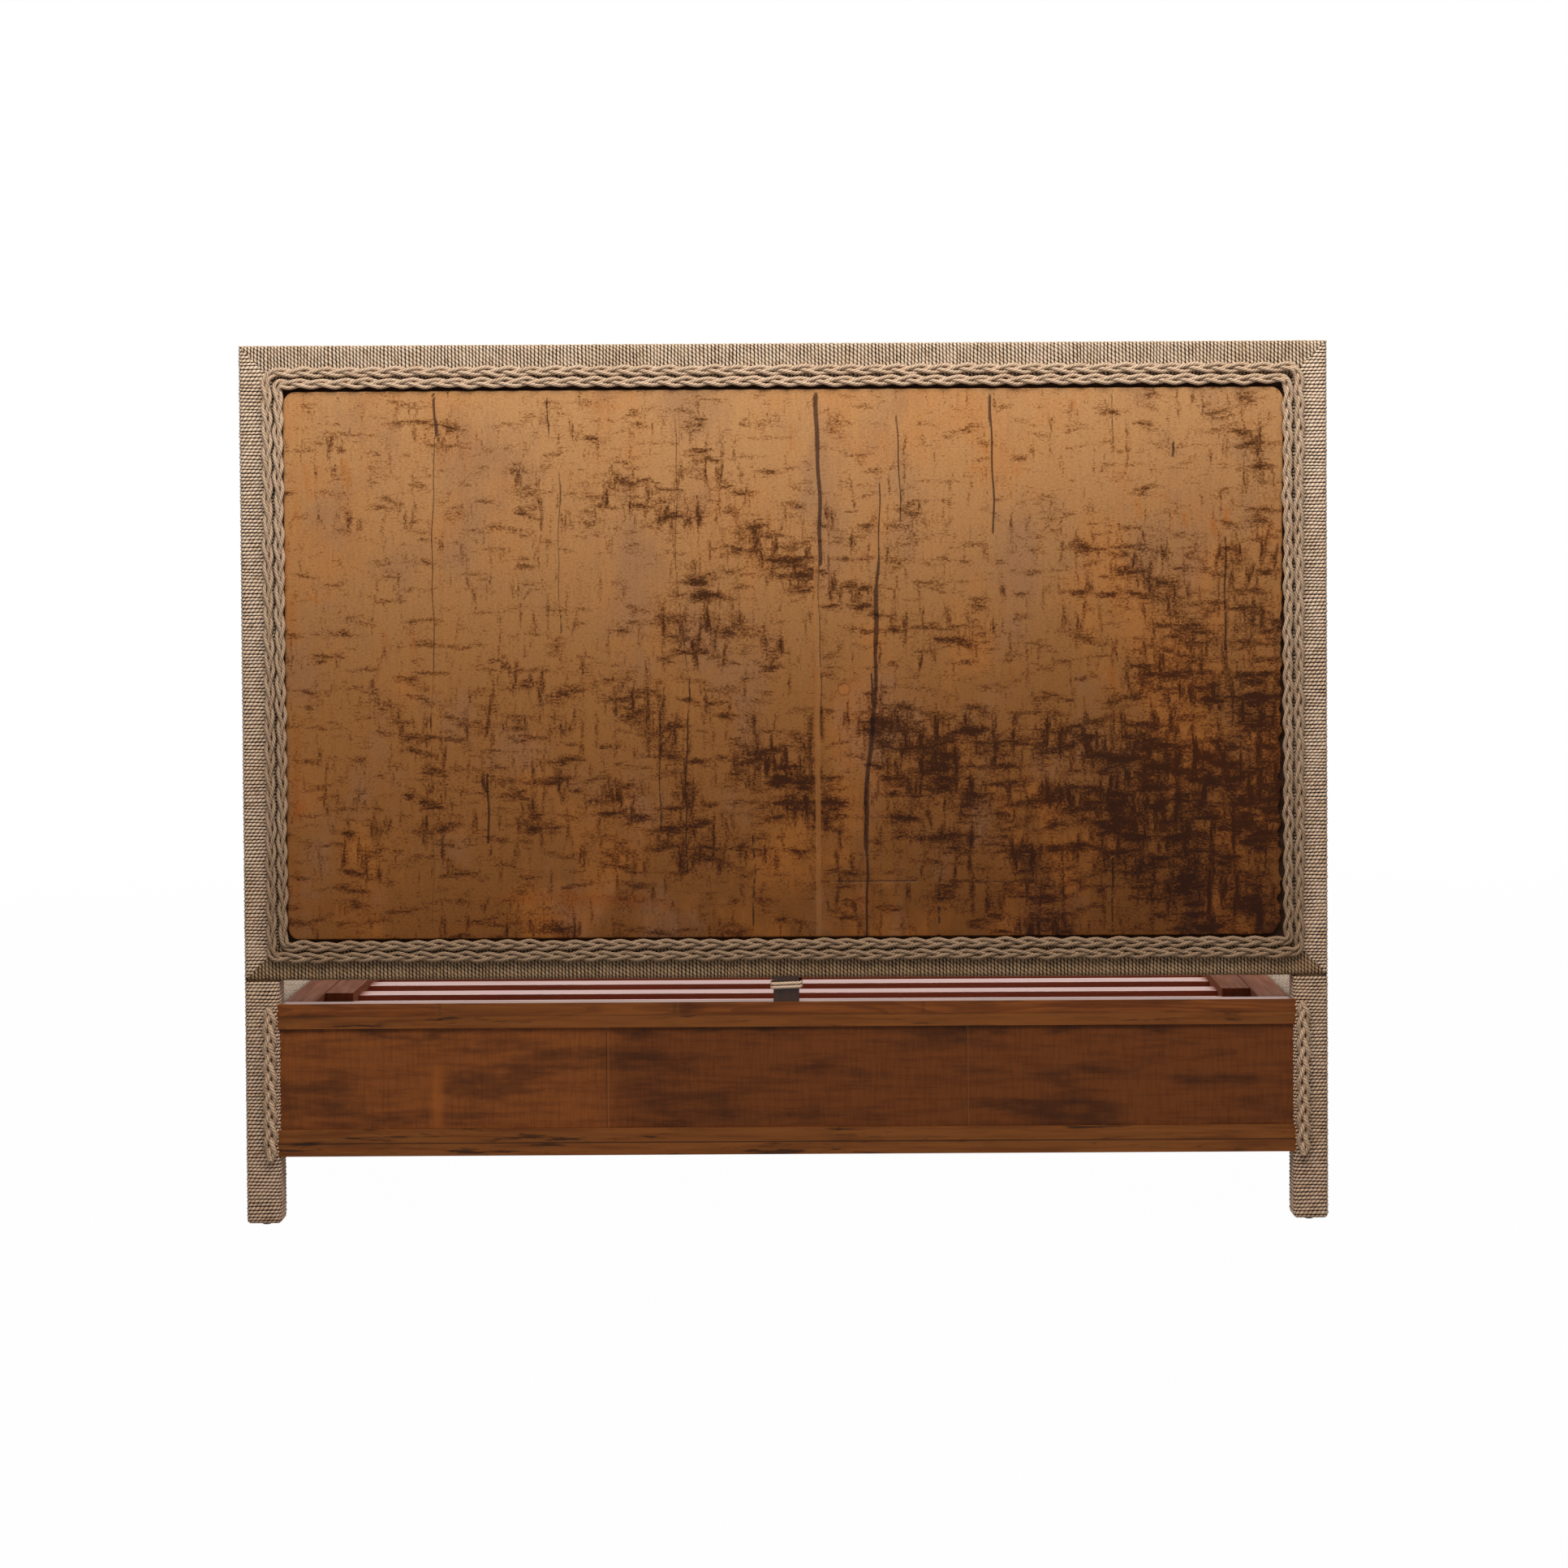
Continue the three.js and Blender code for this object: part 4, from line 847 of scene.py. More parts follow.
    (560, 850, 560, 811, 8.6, 0.85), (565, 797, 606, 787, 6.2, 0.8), (622, 843, 672, 840, 4.9, 0.6),
    (622, 826, 672, 823, 4.9, 0.6), (625, 793, 674, 792, 5.5, 0.75), (633, 777, 678, 779, 6.2, 0.8),
    (708, 843, 715, 815, 3.7, 0.8), (715, 815, 699, 796, 3.7, 0.7), (699, 796, 704, 774, 4.9, 0.8),
    (715, 759, 742, 706, 4.4, 0.95), (731, 815, 734, 746, 16, 0.8), (515, 785, 539, 789, 7.4, 0.65),
    (468, 795, 488, 797, 5.5, 0.6), (468, 759, 483, 763, 6.2, 0.75), (286, 772, 319, 770, 8.6, 0.65),
    (331, 768, 365, 765, 6.2, 0.55), (246, 742, 301, 737, 8.6, 0.75), (270, 722, 335, 729, 11.1, 0.85),
    (515, 751, 529, 743, 9.8, 0.7), (554, 754, 569, 739, 14.8, 0.6), (598, 762, 615, 762, 12.3, 0.7),
    (532, 730, 537, 718, 9.8, 0.75), (534, 702, 571, 683, 20.9, 0.85), (488, 689, 524, 691, 9.8, 0.85),
    (620, 735, 652, 732, 5.5, 0.75), (678, 747, 679, 707, 11.1, 0.85), (532, 719, 620, 719, 7.4, 0.7),
    (612, 714, 615, 640, 7.4, 0.75), (630, 698, 676, 698, 4.9, 0.6), (626, 683, 677, 677, 7.4, 0.6),
    (404, 714, 436, 709, 6.2, 0.8), (433, 706, 463, 696, 7.4, 0.6), (390, 707, 393, 654, 4.9, 0.6),
    (390, 655, 472, 647, 7.4, 0.85), (372, 619, 454, 619, 11.1, 0.75), (365, 617, 366, 586, 9.8, 0.8),
    (383, 598, 387, 591, 7.4, 0.7), (491, 637, 515, 632, 11.1, 0.75), (512, 621, 583, 614, 6.2, 0.9),
    (565, 624, 672, 623, 5.5, 0.9), (528, 657, 571, 649, 11.1, 0.6), (620, 641, 657, 639, 7.4, 0.6),
    (399, 568, 394, 527, 9.8, 0.85), (415, 571, 411, 547, 7.4, 0.6), (363, 554, 365, 527, 9.8, 0.85),
    (396, 506, 397, 483, 7.4, 0.8), (424, 474, 424, 446, 7.4, 0.95), (420, 521, 422, 485, 4.9, 0.8),
    (467, 583, 488, 578, 8.6, 0.8), (446, 524, 448, 509, 9.8, 0.8), (448, 514, 539, 510, 6.2, 0.85),
    (566, 495, 580, 504, 11.1, 0.9), (592, 548, 604, 545, 11.1, 0.85), (620, 615, 622, 548, 12.3, 0.75),
    (618, 548, 612, 456, 11.1, 0.7), (645, 533, 646, 455, 14.8, 0.72), (657, 533, 700, 528, 7.4, 0.6),
    (505, 541, 579, 546, 6.2, 0.7), (559, 567, 574, 565, 6.2, 0.65), (532, 567, 539, 561, 7.4, 0.5),
    (716, 589, 718, 498, 12.3, 0.75), (713, 510, 726, 455, 17.2, 0.85), (737, 584, 738, 523, 7.4, 0.6),
    (602, 452, 657, 447, 9.8, 0.7), (448, 448, 534, 446, 6.2, 0.6), (374, 466, 303, 449, 7.4, 0.6),
    (702, 652, 729, 649, 7.4, 0.55), (706, 611, 719, 596, 7.4, 0.6), (690, 572, 694, 538, 9.8, 0.55),
    (264, 581, 301, 589, 9.8, 0.65), (246, 575, 264, 574, 6.2, 0.8), (323, 586, 328, 579, 7.4, 0.6),
    (266, 654, 325, 650, 8.6, 0.55), (246, 673, 307, 678, 8.6, 0.5), (303, 636, 331, 623, 11.1, 0.4),
    (249, 691, 264, 697, 8.6, 0.5), (337, 697, 365, 691, 11.1, 0.4), (747, 670, 731, 668, 3.7, 0.8),
]
orange = [
    (-741, 1170, -738, 1072, 9.8, 0.5), (-665, 1164, -659, 1133, 12.3, 0.7),
    (-723, 1158, -717, 1109, 8.6, 0.6), (-755, 1048, -755, 925, 9.8, 0.5),
    (-742, 961, -747, 888, 9.8, 0.6), (-717, 959, -706, 954, 9.8, 0.6), (-607, 905, -605, 881, 8.6, 0.55),
    (-567, 905, -560, 874, 8.6, 0.65), (-480, 1175, -480, 1151, 8.6, 0.4),
    (-410, 1132, -408, 1101, 6.2, 0.5), (-292, 1248, -247, 1244, 12.3, 0.45),
    (12, 1215, 15, 1179, 8.6, 0.5), (47, 1006, 47, 834, 4.9, 0.5), (114, 1246, 119, 1239, 12.3, 0.4),
    (89, 1197, 116, 1163, 11.1, 0.45), (304, 1186, 307, 1174, 9.8, 0.6), (282, 1152, 303, 1146, 9.8, 0.6),
    (353, 1147, 357, 1140, 7.4, 0.6), (414, 1250, 416, 1238, 8.6, 0.5), (438, 1250, 441, 1238, 8.6, 0.55),
    (537, 1099, 540, 1075, 8.6, 0.7), (577, 1108, 580, 1099, 7.4, 0.6), (607, 1077, 609, 1062, 8.6, 0.7),
    (650, 1064, 655, 1047, 7.4, 0.8), (671, 1083, 672, 1064, 7.4, 0.7), (682, 1095, 687, 1089, 9.8, 0.5),
    (688, 1156, 690, 1150, 8.6, 0.5), (345, 842, 347, 826, 7.4, 0.6), (365, 840, 367, 830, 7.4, 0.6),
    (494, 846, 499, 813, 6.2, 0.7), (419, 780, 421, 773, 7.4, 0.5), (694, 763, 699, 753, 9.8, 0.6),
    (-739, 758, -742, 629, 6.2, 0.8), (-733, 642, -747, 617, 11.1, 0.6), (-745, 568, -742, 482, 8.6, 0.6),
    (-702, 801, -701, 752, 4.9, 0.6), (-437, 498, -327, 501, 16, 0.55), (-327, 498, -234, 494, 18.4, 0.6),
    (-228, 497, -167, 491, 17.2, 0.45), (12, 520, 42, 477, 24.6, 0.4), (110, 495, 147, 483, 24.6, 0.45),
    (79, 821, 91, 809, 9.8, 0.5), (47, 846, 46, 637, 4.9, 0.6), (57, 588, 64, 502, 7.4, 0.45),
    (325, 513, 399, 494, 24.6, 0.45), (430, 524, 426, 438, 9.8, 0.5), (-714, 494, -610, 469, 22.1, 0.4),
    (-524, 456, -327, 473, 14.8, 0.4),
]
clouds = [
    (-573, 1237, -499, 1194, 56.6, 0.4), (-610, 1170, -573, 1071, 44.3, 0.3),
    (-677, 1219, -671, 1121, 36.9, 0.35), (-401, 1169, -388, 1070, 36.9, 0.35),
    (-376, 1119, -327, 1070, 49.2, 0.35), (-499, 1071, -450, 1034, 49.2, 0.3),
    (-376, 1242, -302, 1193, 61.5, 0.3), (-228, 1229, -142, 1216, 49.2, 0.35),
    (-271, 1119, -130, 1081, 73.8, 0.6), (-118, 1167, -75, 1118, 61.5, 0.45),
    (-44, 1044, 18, 994, 76.3, 0.9), (-142, 995, -93, 958, 56.6, 0.65), (-179, 921, -130, 884, 61.5, 0.8),
    (-105, 915, -19, 877, 51.7, 0.55), (67, 1068, 165, 993, 73.8, 0.3), (67, 975, 116, 950, 39.4, 0.75),
    (165, 913, 325, 888, 56.6, 0.5), (178, 1092, 227, 1042, 61.5, 0.3), (448, 1053, 448, 893, 73.8, 0.3),
    (534, 1003, 633, 880, 88.6, 0.75), (657, 1236, 706, 1199, 73.8, 0.4),
    (682, 1015, 743, 867, 73.8, 0.65), (716, 1162, 731, 990, 49.2, 0.45),
    (-401, 836, -253, 811, 56.6, 0.4), (-222, 799, -167, 718, 56.6, 0.75),
    (-499, 771, -351, 755, 49.2, 0.4), (-450, 689, -376, 615, 61.5, 0.5),
    (-548, 727, -524, 579, 49.2, 0.4), (-659, 653, -634, 506, 61.5, 0.4),
    (-597, 788, -573, 751, 73.8, 0.3), (-105, 798, -44, 761, 49.2, 0.45), (-44, 711, 30, 674, 76.3, 0.95),
    (-7, 644, 55, 625, 61.5, 0.8), (-148, 675, -130, 564, 54.1, 0.7), (-105, 576, -32, 564, 61.5, 0.45),
    (-253, 627, -167, 577, 68.9, 0.4), (-339, 689, -253, 651, 73.8, 0.4),
    (-302, 565, -253, 555, 49.2, 0.4), (153, 760, 239, 710, 91, 1), (264, 753, 337, 722, 64, 0.75),
    (165, 673, 325, 648, 73.8, 0.65), (165, 612, 264, 587, 61.5, 0.5), (276, 581, 399, 568, 49.2, 0.55),
    (399, 746, 559, 708, 73.8, 0.8), (534, 696, 706, 683, 118.1, 1), (399, 647, 534, 622, 73.8, 0.9),
    (534, 622, 731, 609, 103.3, 0.9), (559, 831, 706, 781, 91, 0.8), (374, 549, 411, 451, 61.5, 0.75),
    (448, 561, 534, 554, 68.9, 0.55), (534, 524, 583, 499, 73.8, 0.65), (608, 560, 633, 449, 61.5, 0.8),
    (657, 523, 731, 449, 93.5, 0.95), (731, 806, 743, 621, 54.1, 0.7), (319, 463, 387, 451, 44.3, 0.5),
    (227, 513, 301, 488, 61.5, 0.3), (79, 575, 116, 452, 36.9, 0.35), (-425, 455, -327, 452, 36.9, 0.5),
]
panel = dict(
    high=tint(210, 155, 101), middle=tint(166, 111, 60), low=tint(141, 87, 39), shade=(0.62, 0.57, 0.5, 1.0),
    warm=tint(206, 126, 56), cool=tint(150, 112, 88), orange=(1.0, 0.72, 0.42, 1.0), strip=tint(196, 138, 86),
    halo=(0.62, 0.52, 0.42, 1.0), stain=(0.15, 0.095, 0.042, 1.0), grit=(0.74, 0.7, 0.66, 1.0),
    crack=(0.2, 0.18, 0.22, 1.0), gloss=0.55, specular=0.13,
    # shape
    round=20 * mm, roll=2.0 * mm, grid=6.0 * mm, crackDeep=0.7 * mm,
    under=4.6 * mm, below=3 * mm, above=7 * mm,  # how far it runs on under the border plaits
    near=(0, 0.4, 1.1, 2.6, 5), margins=(9, 8), crackRows=(-1.1, -0.5, 0, 0.5, 1.1),  # rows of the mesh, in mm
    levelCracks=(521, 523), levelRows=(-1.5, 0, 1.5), thinnest=0.6 * mm,
    worn=5.5 * mm, wornSlope=1.6, wornFrom=0.1, wornMost=1.2,  # of the right edge, less at the top
    ragged=((0.3, 131, 0), (0.25, 307, 1), (0.2, 811, 2)),  # share, waves and start
    wander=1.6, wanderWaves=(0.021, 0.002, 0.067), wanderShare=0.5,
    stainSpread=1.7, orangeSpread=1.6,
)
panelMarks = dict(
    middleAt=0.45, shadeSlope=(0.55, 0.9), shade=(-0.75, 0.35),
    grit=(300.0, (0.75, 1.0, 1.3), 3.0, 0.72), fibre=(240.0, (1.0, 1.0, 0.05), 3.0, 0.6),
    broad=(7.0, (1.2, 1.0, 0.8), 4.0, 0.6), dull=(9.0, (1.1, 1.0, 0.7), 4.0, 0.65, (5, 2, 7)),
    level=(38.0, (0.5, 1.0, 1.5), 4.0, 0.6), upright=(38.0, (2.1, 1.0, 0.5), 4.0, 0.6, (3, 1, 2)),
    warmGrit=0.08, warm=(0.5, 0.72, 0.0, 0.3), coolGrit=0.12, cool=(0.54, 0.76, 0.0, 0.35),
    rust=(0.15, 0.9, 0.0, 0.8), gritty=(0.3, 0.72, 0.0, 0.85), fibrous=(0.4, 0.7, 0.0, 0.2),
    stripAt=48 * mm, stripWander=0.004, stripEdge=(0.0028, 0.0052, 0.85, 0.0), stripTop=(0.6, 0.75, 1.0, 0.0),
    stripShare=0.2, knots=((10.8, 1015, 8.6), (90.0, 815, 9.4), (-179, 750, 7), (8, 696, 9)),
    ring=(0.0004, 0.0017, 0.75, 0.0), knotCore=5, knotWarm=0.2,
    cloudLift=0.185, low=(0.1, 0.9, 0.035, 0.0), right=(0.0, 0.75, 0.0, 0.015), gritLift=0.5,
    smudge=(0.79, 1.04), drip=(0.81, 1.06), markGrit=1.6, markLevel=0.9, mark=(0.3, 1.15), haloAt=0.45,
    splitGrit=(0.5, 0.75), split=(0.25, 0.7, 0.0, 0.97), roughGrit=0.3, rough=(0.0, 1.2, 0.46, 0.7),
    bumps=(0.5, 0.3, 1.5, 0.3), rise=0.6 * mm, strength=0.5,
)


def paint(x, z, marks, spread=1.0):
    # how strongly any mark covers each place: 1 - product of (1 - strength x exp(-(d / half width)^2))
    bare = np.ones(x.shape)
    for x0, z0, x1, z1, width, strength in marks:
        run = np.array([x1 - x0, z1 - z0], float)
        size = max((run ** 2).sum(), 1e-9)
        along = np.clip(((x - x0) * run[0] + (z - z0) * run[1]) / size, 0, 1)
        away = np.hypot(x - x0 - along * run[0], z - z0 - along * run[1])
        bare = bare * (1 - strength * np.exp(-(away / (width * 0.5 * spread)) ** 2))
    return 1 - bare


def panelLook():
    # a worn board: a mottled ground, then level and upright smudges of old stain where the painted clouds
    # raise a noise over its threshold, with a warm halo and grainy edges; marks and cracks lie over them
    look = newLook("stainedPanel", Roughness=panel["gloss"], Specular_IOR_Level=panel["specular"])
    use = panelMarks
    here = look.place()
    x, z = look.axis(here, 0), look.axis(here, 2)
    low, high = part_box("headboard_back_panel")
    height = (z - low.z) / (high.z - low.z)
    colour = look.ramp(height, (0.0, panel["low"]), (use["middleAt"], panel["middle"]), (1.0, panel["high"]))
    grit, fibre = look.noise(*use["grit"]), look.noise(*use["fibre"])
    across, up = use["shadeSlope"]
    colour = look.darken(look.band(x * across - height * up, *use["shade"]), colour, panel["shade"])
    broad, dull = look.noise(*use["broad"]), look.noise(*use["dull"])
    colour = look.mix(look.band(broad + grit * use["warmGrit"], *use["warm"]), colour, panel["warm"])
    colour = look.mix(look.band(dull + grit * use["coolGrit"], *use["cool"]), colour, panel["cool"])
    rust = look.band(look.painted("orange") * (dull + grit), *use["rust"])
    colour = look.darken(rust, colour, panel["orange"])
    fromStrip = abs(x - use["stripAt"] - broad * use["stripWander"])
    strip = look.band(fromStrip, *use["stripEdge"]) * look.band(height, *use["stripTop"])
    colour = look.mix(strip * use["stripShare"], colour, panel["strip"])
    colour = look.darken(look.band(grit, *use["gritty"]), colour, panel["grit"])
    colour = look.darken(look.band(fibre, *use["fibrous"]), colour, panel["grit"])
    for across, up, radius in use["knots"]:
        away = look.distance(look.point(x, 0.0, z), (across * mm, 0.0, up * mm))
        core = look.band(away, (radius - use["knotCore"]) * mm, radius * mm, use["knotWarm"], 0.0)
        colour = look.mix(core, colour, panel["warm"])
        colour = look.darken(look.band(abs(away - radius * mm), *use["ring"]), colour, panel["halo"])
    wetter = look.band(height, *use["low"]) + look.band(x, *use["right"])
    worn = look.painted("cloud") * use["cloudLift"] + wetter + grit * use["gritLift"]
    level, upright = look.noise(*use["level"]), look.noise(*use["upright"])
    smudge, drip = look.band(level + worn, *use["smudge"]), look.band(upright + worn, *use["drip"])
    rubbed = look.painted("stain") + (grit - 0.5) * use["markGrit"] + (level - 0.5) * use["markLevel"]
    mask = smudge.most(drip).most(look.band(rubbed, *use["mark"])) * (1 - strip)
    stained = look.ramp(mask, (0.0, white), (use["haloAt"], panel["halo"]), (1.0, panel["stain"]))
    colour = look.darken(1.0, colour, stained)
    share, least = use["splitGrit"]
    split = look.band(look.painted("crack") * (grit * share + least), *use["split"])
    colour = look.darken(split, colour, panel["crack"])
    look.feed(Base_Color=colour, Roughness=look.band(mask + grit * use["roughGrit"], *use["rough"]))
    byGrit, byFibre, bySplit, byMask = use["bumps"]
    height = grit * byGrit + fibre * byFibre - split * bySplit - mask * byMask
    look.bump(height, use["rise"], use["strength"])
    return look.owner


def thin(values, gap):
    # sorted values, less those closer than gap to the one before; both ends stay
    values = np.sort(values)
    kept = [values[0]]
    for value in values[1:-1]:
        if value - kept[-1] > gap and values[-1] - value > gap * 0.5:
            kept.append(value)
    return np.array(kept + [values[-1]])


def panelLines(low, high):
    # where the mesh's lines run: close at the edges and at the cracks, even between them
    near = np.array(panel["near"]) * mm
    first, last = (margin * mm for margin in panel["margins"])
    x = [low.x + near, high.x - near, np.arange(low.x + first, high.x - last, panel["grid"])]
    z = [low.z + near, high.z - near, np.arange(low.z + first, high.z - last, panel["grid"])]
    for x0, z0, x1, z1, width, _ in cracks:
        if abs(z1 - z0) > abs(x1 - x0):
            x += [(across + width * np.array(panel["crackRows"])) * mm for across in {x0, x1}]
    z += [(level + np.array(panel["levelRows"])) * mm for level in panel["levelCracks"]]
    return [thin(np.concatenate(values), panel["thinnest"]) for values in (x, z)]


def backPanel():
    # a level board with round corners and rolled edges: back = plane + roll x (1 - root(1 - (1 - d/roll)^2))
    # where d is the distance from the outline, less deep cuts along the cracks
    low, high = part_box("headboard_back_panel")
    low.z -= panel["below"]
    high.z -= panel["above"]
    x, z = panelLines(low, high)
    inset = np.minimum(z - low.z, high.z - z)
    curve = np.clip(panel["round"] - inset, 0, None)
    bow = panel["round"] - np.sqrt(panel["round"] ** 2 - curve ** 2)
    tall = (high.z - z) / (high.z - low.z)
    left = low.x - panel["under"] + bow
    ragged = sum(share * np.sin(z * waves + start) for share, waves, start in panel["ragged"])
    rubbed = np.clip(tall * panel["wornSlope"] - panel["wornFrom"], 0, panel["wornMost"]) * (1 + ragged)
    right = high.x + panel["under"] - bow - panel["worn"] * rubbed
    column, row = np.meshgrid((x - low.x) / (high.x - low.x), np.arange(len(z)))
    placeX, placeZ = left[row] + column * (right - left)[row], z[row]
    sideways = np.minimum(placeX - left[row], right[row] - placeX)
    rolled = np.clip(1 - np.minimum(sideways, inset[row]) / panel["roll"], 0, 1)
    alongX, alongZ = placeX / mm, placeZ / mm
    slow, tilt, quick = panel["wanderWaves"]
    bend = np.sin(alongZ * slow + alongX * tilt) + panel["wanderShare"] * np.sin(alongZ * quick)
    painted = dict(
        crack=paint(alongX + panel["wander"] * bend, alongZ, cracks),
        stain=paint(alongX, alongZ, smears, panel["stainSpread"]),
        orange=paint(alongX, alongZ, orange, panel["orangeSpread"]),
        cloud=paint(alongX, alongZ, clouds),
    )
    depth = panel["roll"] * (1 - np.sqrt(1 - rolled ** 2)) + panel["crackDeep"] * painted["crack"]
    numbers = gridCorners(len(z), len(x))[1]
    places, faces = backedSheet(np.stack((placeX, low.y + depth, placeZ), -1), numbers, high.y, True)
    bare = np.zeros(len(places) - depth.size)
    attributes = {key: np.concatenate((painted[key].ravel(), bare)) for key in painted}
    meshPiece("stainedBackPanel", [(places, faces, None)], panelLook(), ["headboard_back_panel"],
              attributes=attributes)
    print("back panel done")


backPanel()


# plain woods and the small parts

woods = dict(
    core=dict(base=tint(170, 128, 88), dark=tint(128, 88, 54), coat=0.0, rough=0.7, shine=0.15, along=1),
    # board: the core behind the woven front, kept dark as a painted shade where it shows behind the back panel
    # and the border plaits
    board=dict(base=tint(88, 62, 46), dark=tint(56, 38, 28), coat=0.0, rough=0.75, shine=0.15, along=0),
    plank=dict(base=tint(158, 98, 68), dark=tint(118, 68, 44), coat=0.0, rough=0.8, shine=0.04, along=1),
    slat=dict(base=tint(198, 116, 88), dark=tint(158, 86, 62), coat=0.55, rough=0.5, shine=0.15, along=0),
    post=dict(base=tint(58, 34, 22), dark=tint(34, 20, 14), coat=0.3, rough=0.5, shine=0.15, along=2),
    beam=dict(base=tint(112, 60, 38), dark=tint(72, 36, 20), coat=0.3, rough=0.5, shine=0.15, along=1),
)
grained = dict(
    coatRough=0.2, coatTint=tint(255, 226, 218), drawn=0.05,
    grain=(150.0, 4.0, 0.6), bands=(22.0, 3.0, 0.6),  # these two are stretched along each wood
    worn=(6.0, (1, 1, 1), 3.0),
    byGrain=(0.35, 0.7, 0.0, 0.6), byBands=(0.45, 0.7, 0.0, 0.55), byWorn=(0.5, 0.8, 0.0, 0.3),
    roughAt=(0.3, 0.8), smoother=0.08, rougher=0.12, bumps=(0.6, 0.4), rise=0.5 * mm, strength=0.35,
)


def timber(name, settings):
    # grain is a noise drawn out along the wood, with a few broader bands
    look = newLook(name, Roughness=settings["rough"], Coat_Weight=settings["coat"],
                   Coat_Roughness=grained["coatRough"], Coat_Tint=grained["coatTint"],
                   Specular_IOR_Level=settings["shine"])
    stretch = [1.0, 1.0, 1.0]
    stretch[settings["along"]] = grained["drawn"]
    grain, bands = (
        look.noise(scale, tuple(stretch), *rest) for scale, *rest in (grained["grain"], grained["bands"]))
    colour = look.mix(look.band(grain, *grained["byGrain"]), settings["base"], settings["dark"])
    colour = look.mix(look.band(bands, *grained["byBands"]), colour, settings["dark"])
    worn = look.noise(*grained["worn"])
    colour = look.mix(look.band(worn, *grained["byWorn"]), colour, settings["dark"])
    rough = settings["rough"] - grained["smoother"], settings["rough"] + grained["rougher"]
    look.feed(Base_Color=colour, Roughness=look.band(grain, *grained["roughAt"], *rough))
    byGrain, byBands = grained["bumps"]
    look.bump(grain * byGrain + bands * byBands, grained["rise"], grained["strength"])
    return look.owner


# cross panel at the head: its two rails and three boards

crossColours = dict(
    base=tint(140, 77, 34), dark=tint(90, 45, 19), smoke=tint(58, 29, 13), orange=tint(186, 104, 42),
    gold=tint(134, 80, 36), light=tint(176, 116, 66), line=tint(34, 18, 10), far=(0.68, 0.66, 0.66, 1.0),
    shader=dict(Roughness=0.5, Specular_IOR_Level=0.12),
)
crossRail = dict(
    grain=(130.0, (0.05, 1.0, 1.0), 4.0, 0.6), arches=(10.0, (0.22, 1.0, 2.6), 2.0, 0.4), ringCount=9.0,
    blur=(26.0, (0.35, 1.0, 1.4), 3.0, 0.6), pits=(46.0, (0.2, 1.0, 1.9), 4.0, 0.65, (1, 4, 2)),
    byGrain=(0.35, 0.68, 0.0, 0.8), byRings=(0.35, 0.95, 0.0, 0.5), byBlur=(0.52, 0.74, 0.0, 0.6),
    boardsPerMetre=2.7, boardStart=0.44, upper=(0.3203, 0.3207), lower=(0.2, 0.21),
    byBoard=(0.2, 0.9, 0.0, 0.3),
    underGlue=(0.3195, 0.3215, 1.0, 0.0), goldGrain=(0.3, 0.7, 0.7, 0.2), byPits=(0.56, 0.68, 0.0, 0.8),
    glue=0.3205, glueLine=(0.0004, 0.0022, 0.25, 0.0), foot=0.1262, footLine=(0.0004, 0.0016, 0.75, 0.0),
    joints=(-0.528, -0.170, 0.208), jointWide=(0.002, 0.004, 1.0, 0.0), fingersPerMetre=400.0,
    finger=(0.18, 0.34, 0.4, 0.0), overGlue=(0.3205, 0.321), rough=(0.3, 0.8, 0.34, 0.52),
    bumps=(0.5, 1.5), rise=0.5 * mm, strength=0.4,
)


def crossRailWood():
    # two strips glued edge to edge, with finger joints along the upper one
    use = crossRail
    look = newLook("crossRailWood", **crossColours["shader"])
    here = look.place()
    x, z = look.axis(here, 0), look.axis(here, 2)
    grain, blur = look.noise(*use["grain"]), look.noise(*use["blur"])
    rings = (look.noise(*use["arches"]) * use["ringCount"]).part()
    colour = look.mix(look.band(grain, *use["byGrain"]), crossColours["base"], crossColours["dark"])
    colour = look.mix(look.band(rings, *use["byRings"]), colour, crossColours["dark"])
    colour = look.mix(look.band(blur, *use["byBlur"]), colour, crossColours["smoke"])
    along = (x * use["boardsPerMetre"] + use["boardStart"]).whole()
    board = look.chance(along, look.band(z, *use["upper"]), look.band(z, *use["lower"]))
    colour = look.mix(look.band(board, *use["byBoard"]), colour, crossColours["gold"])
    under = look.band(z, *use["underGlue"])
    colour = look.mix(under * look.band(grain, *use["goldGrain"]), colour, crossColours["gold"])
    pits = look.noise(*use["pits"])
    colour = look.mix(under * look.band(pits, *use["byPits"]), colour, crossColours["line"])
    line = look.band(abs(z - use["glue"]), *use["glueLine"])
    line = line.most(look.band(abs(z - use["foot"]), *use["footLine"]))
    fingers = look.band(abs((z * use["fingersPerMetre"]).part() - 0.5), *use["finger"])
    fingers = fingers * look.band(z, *use["overGlue"])
    for across in use["joints"]:
        line = line.most(look.band(abs(x - across), *use["jointWide"]) * fingers)
    colour = look.mix(line, colour, crossColours["line"])
    look.feed(Base_Color=colour, Roughness=look.band(grain, *use["rough"]))
    byGrain, byLine = use["bumps"]
    look.bump(grain * byGrain - line * byLine, use["rise"], use["strength"])
    return look.owner


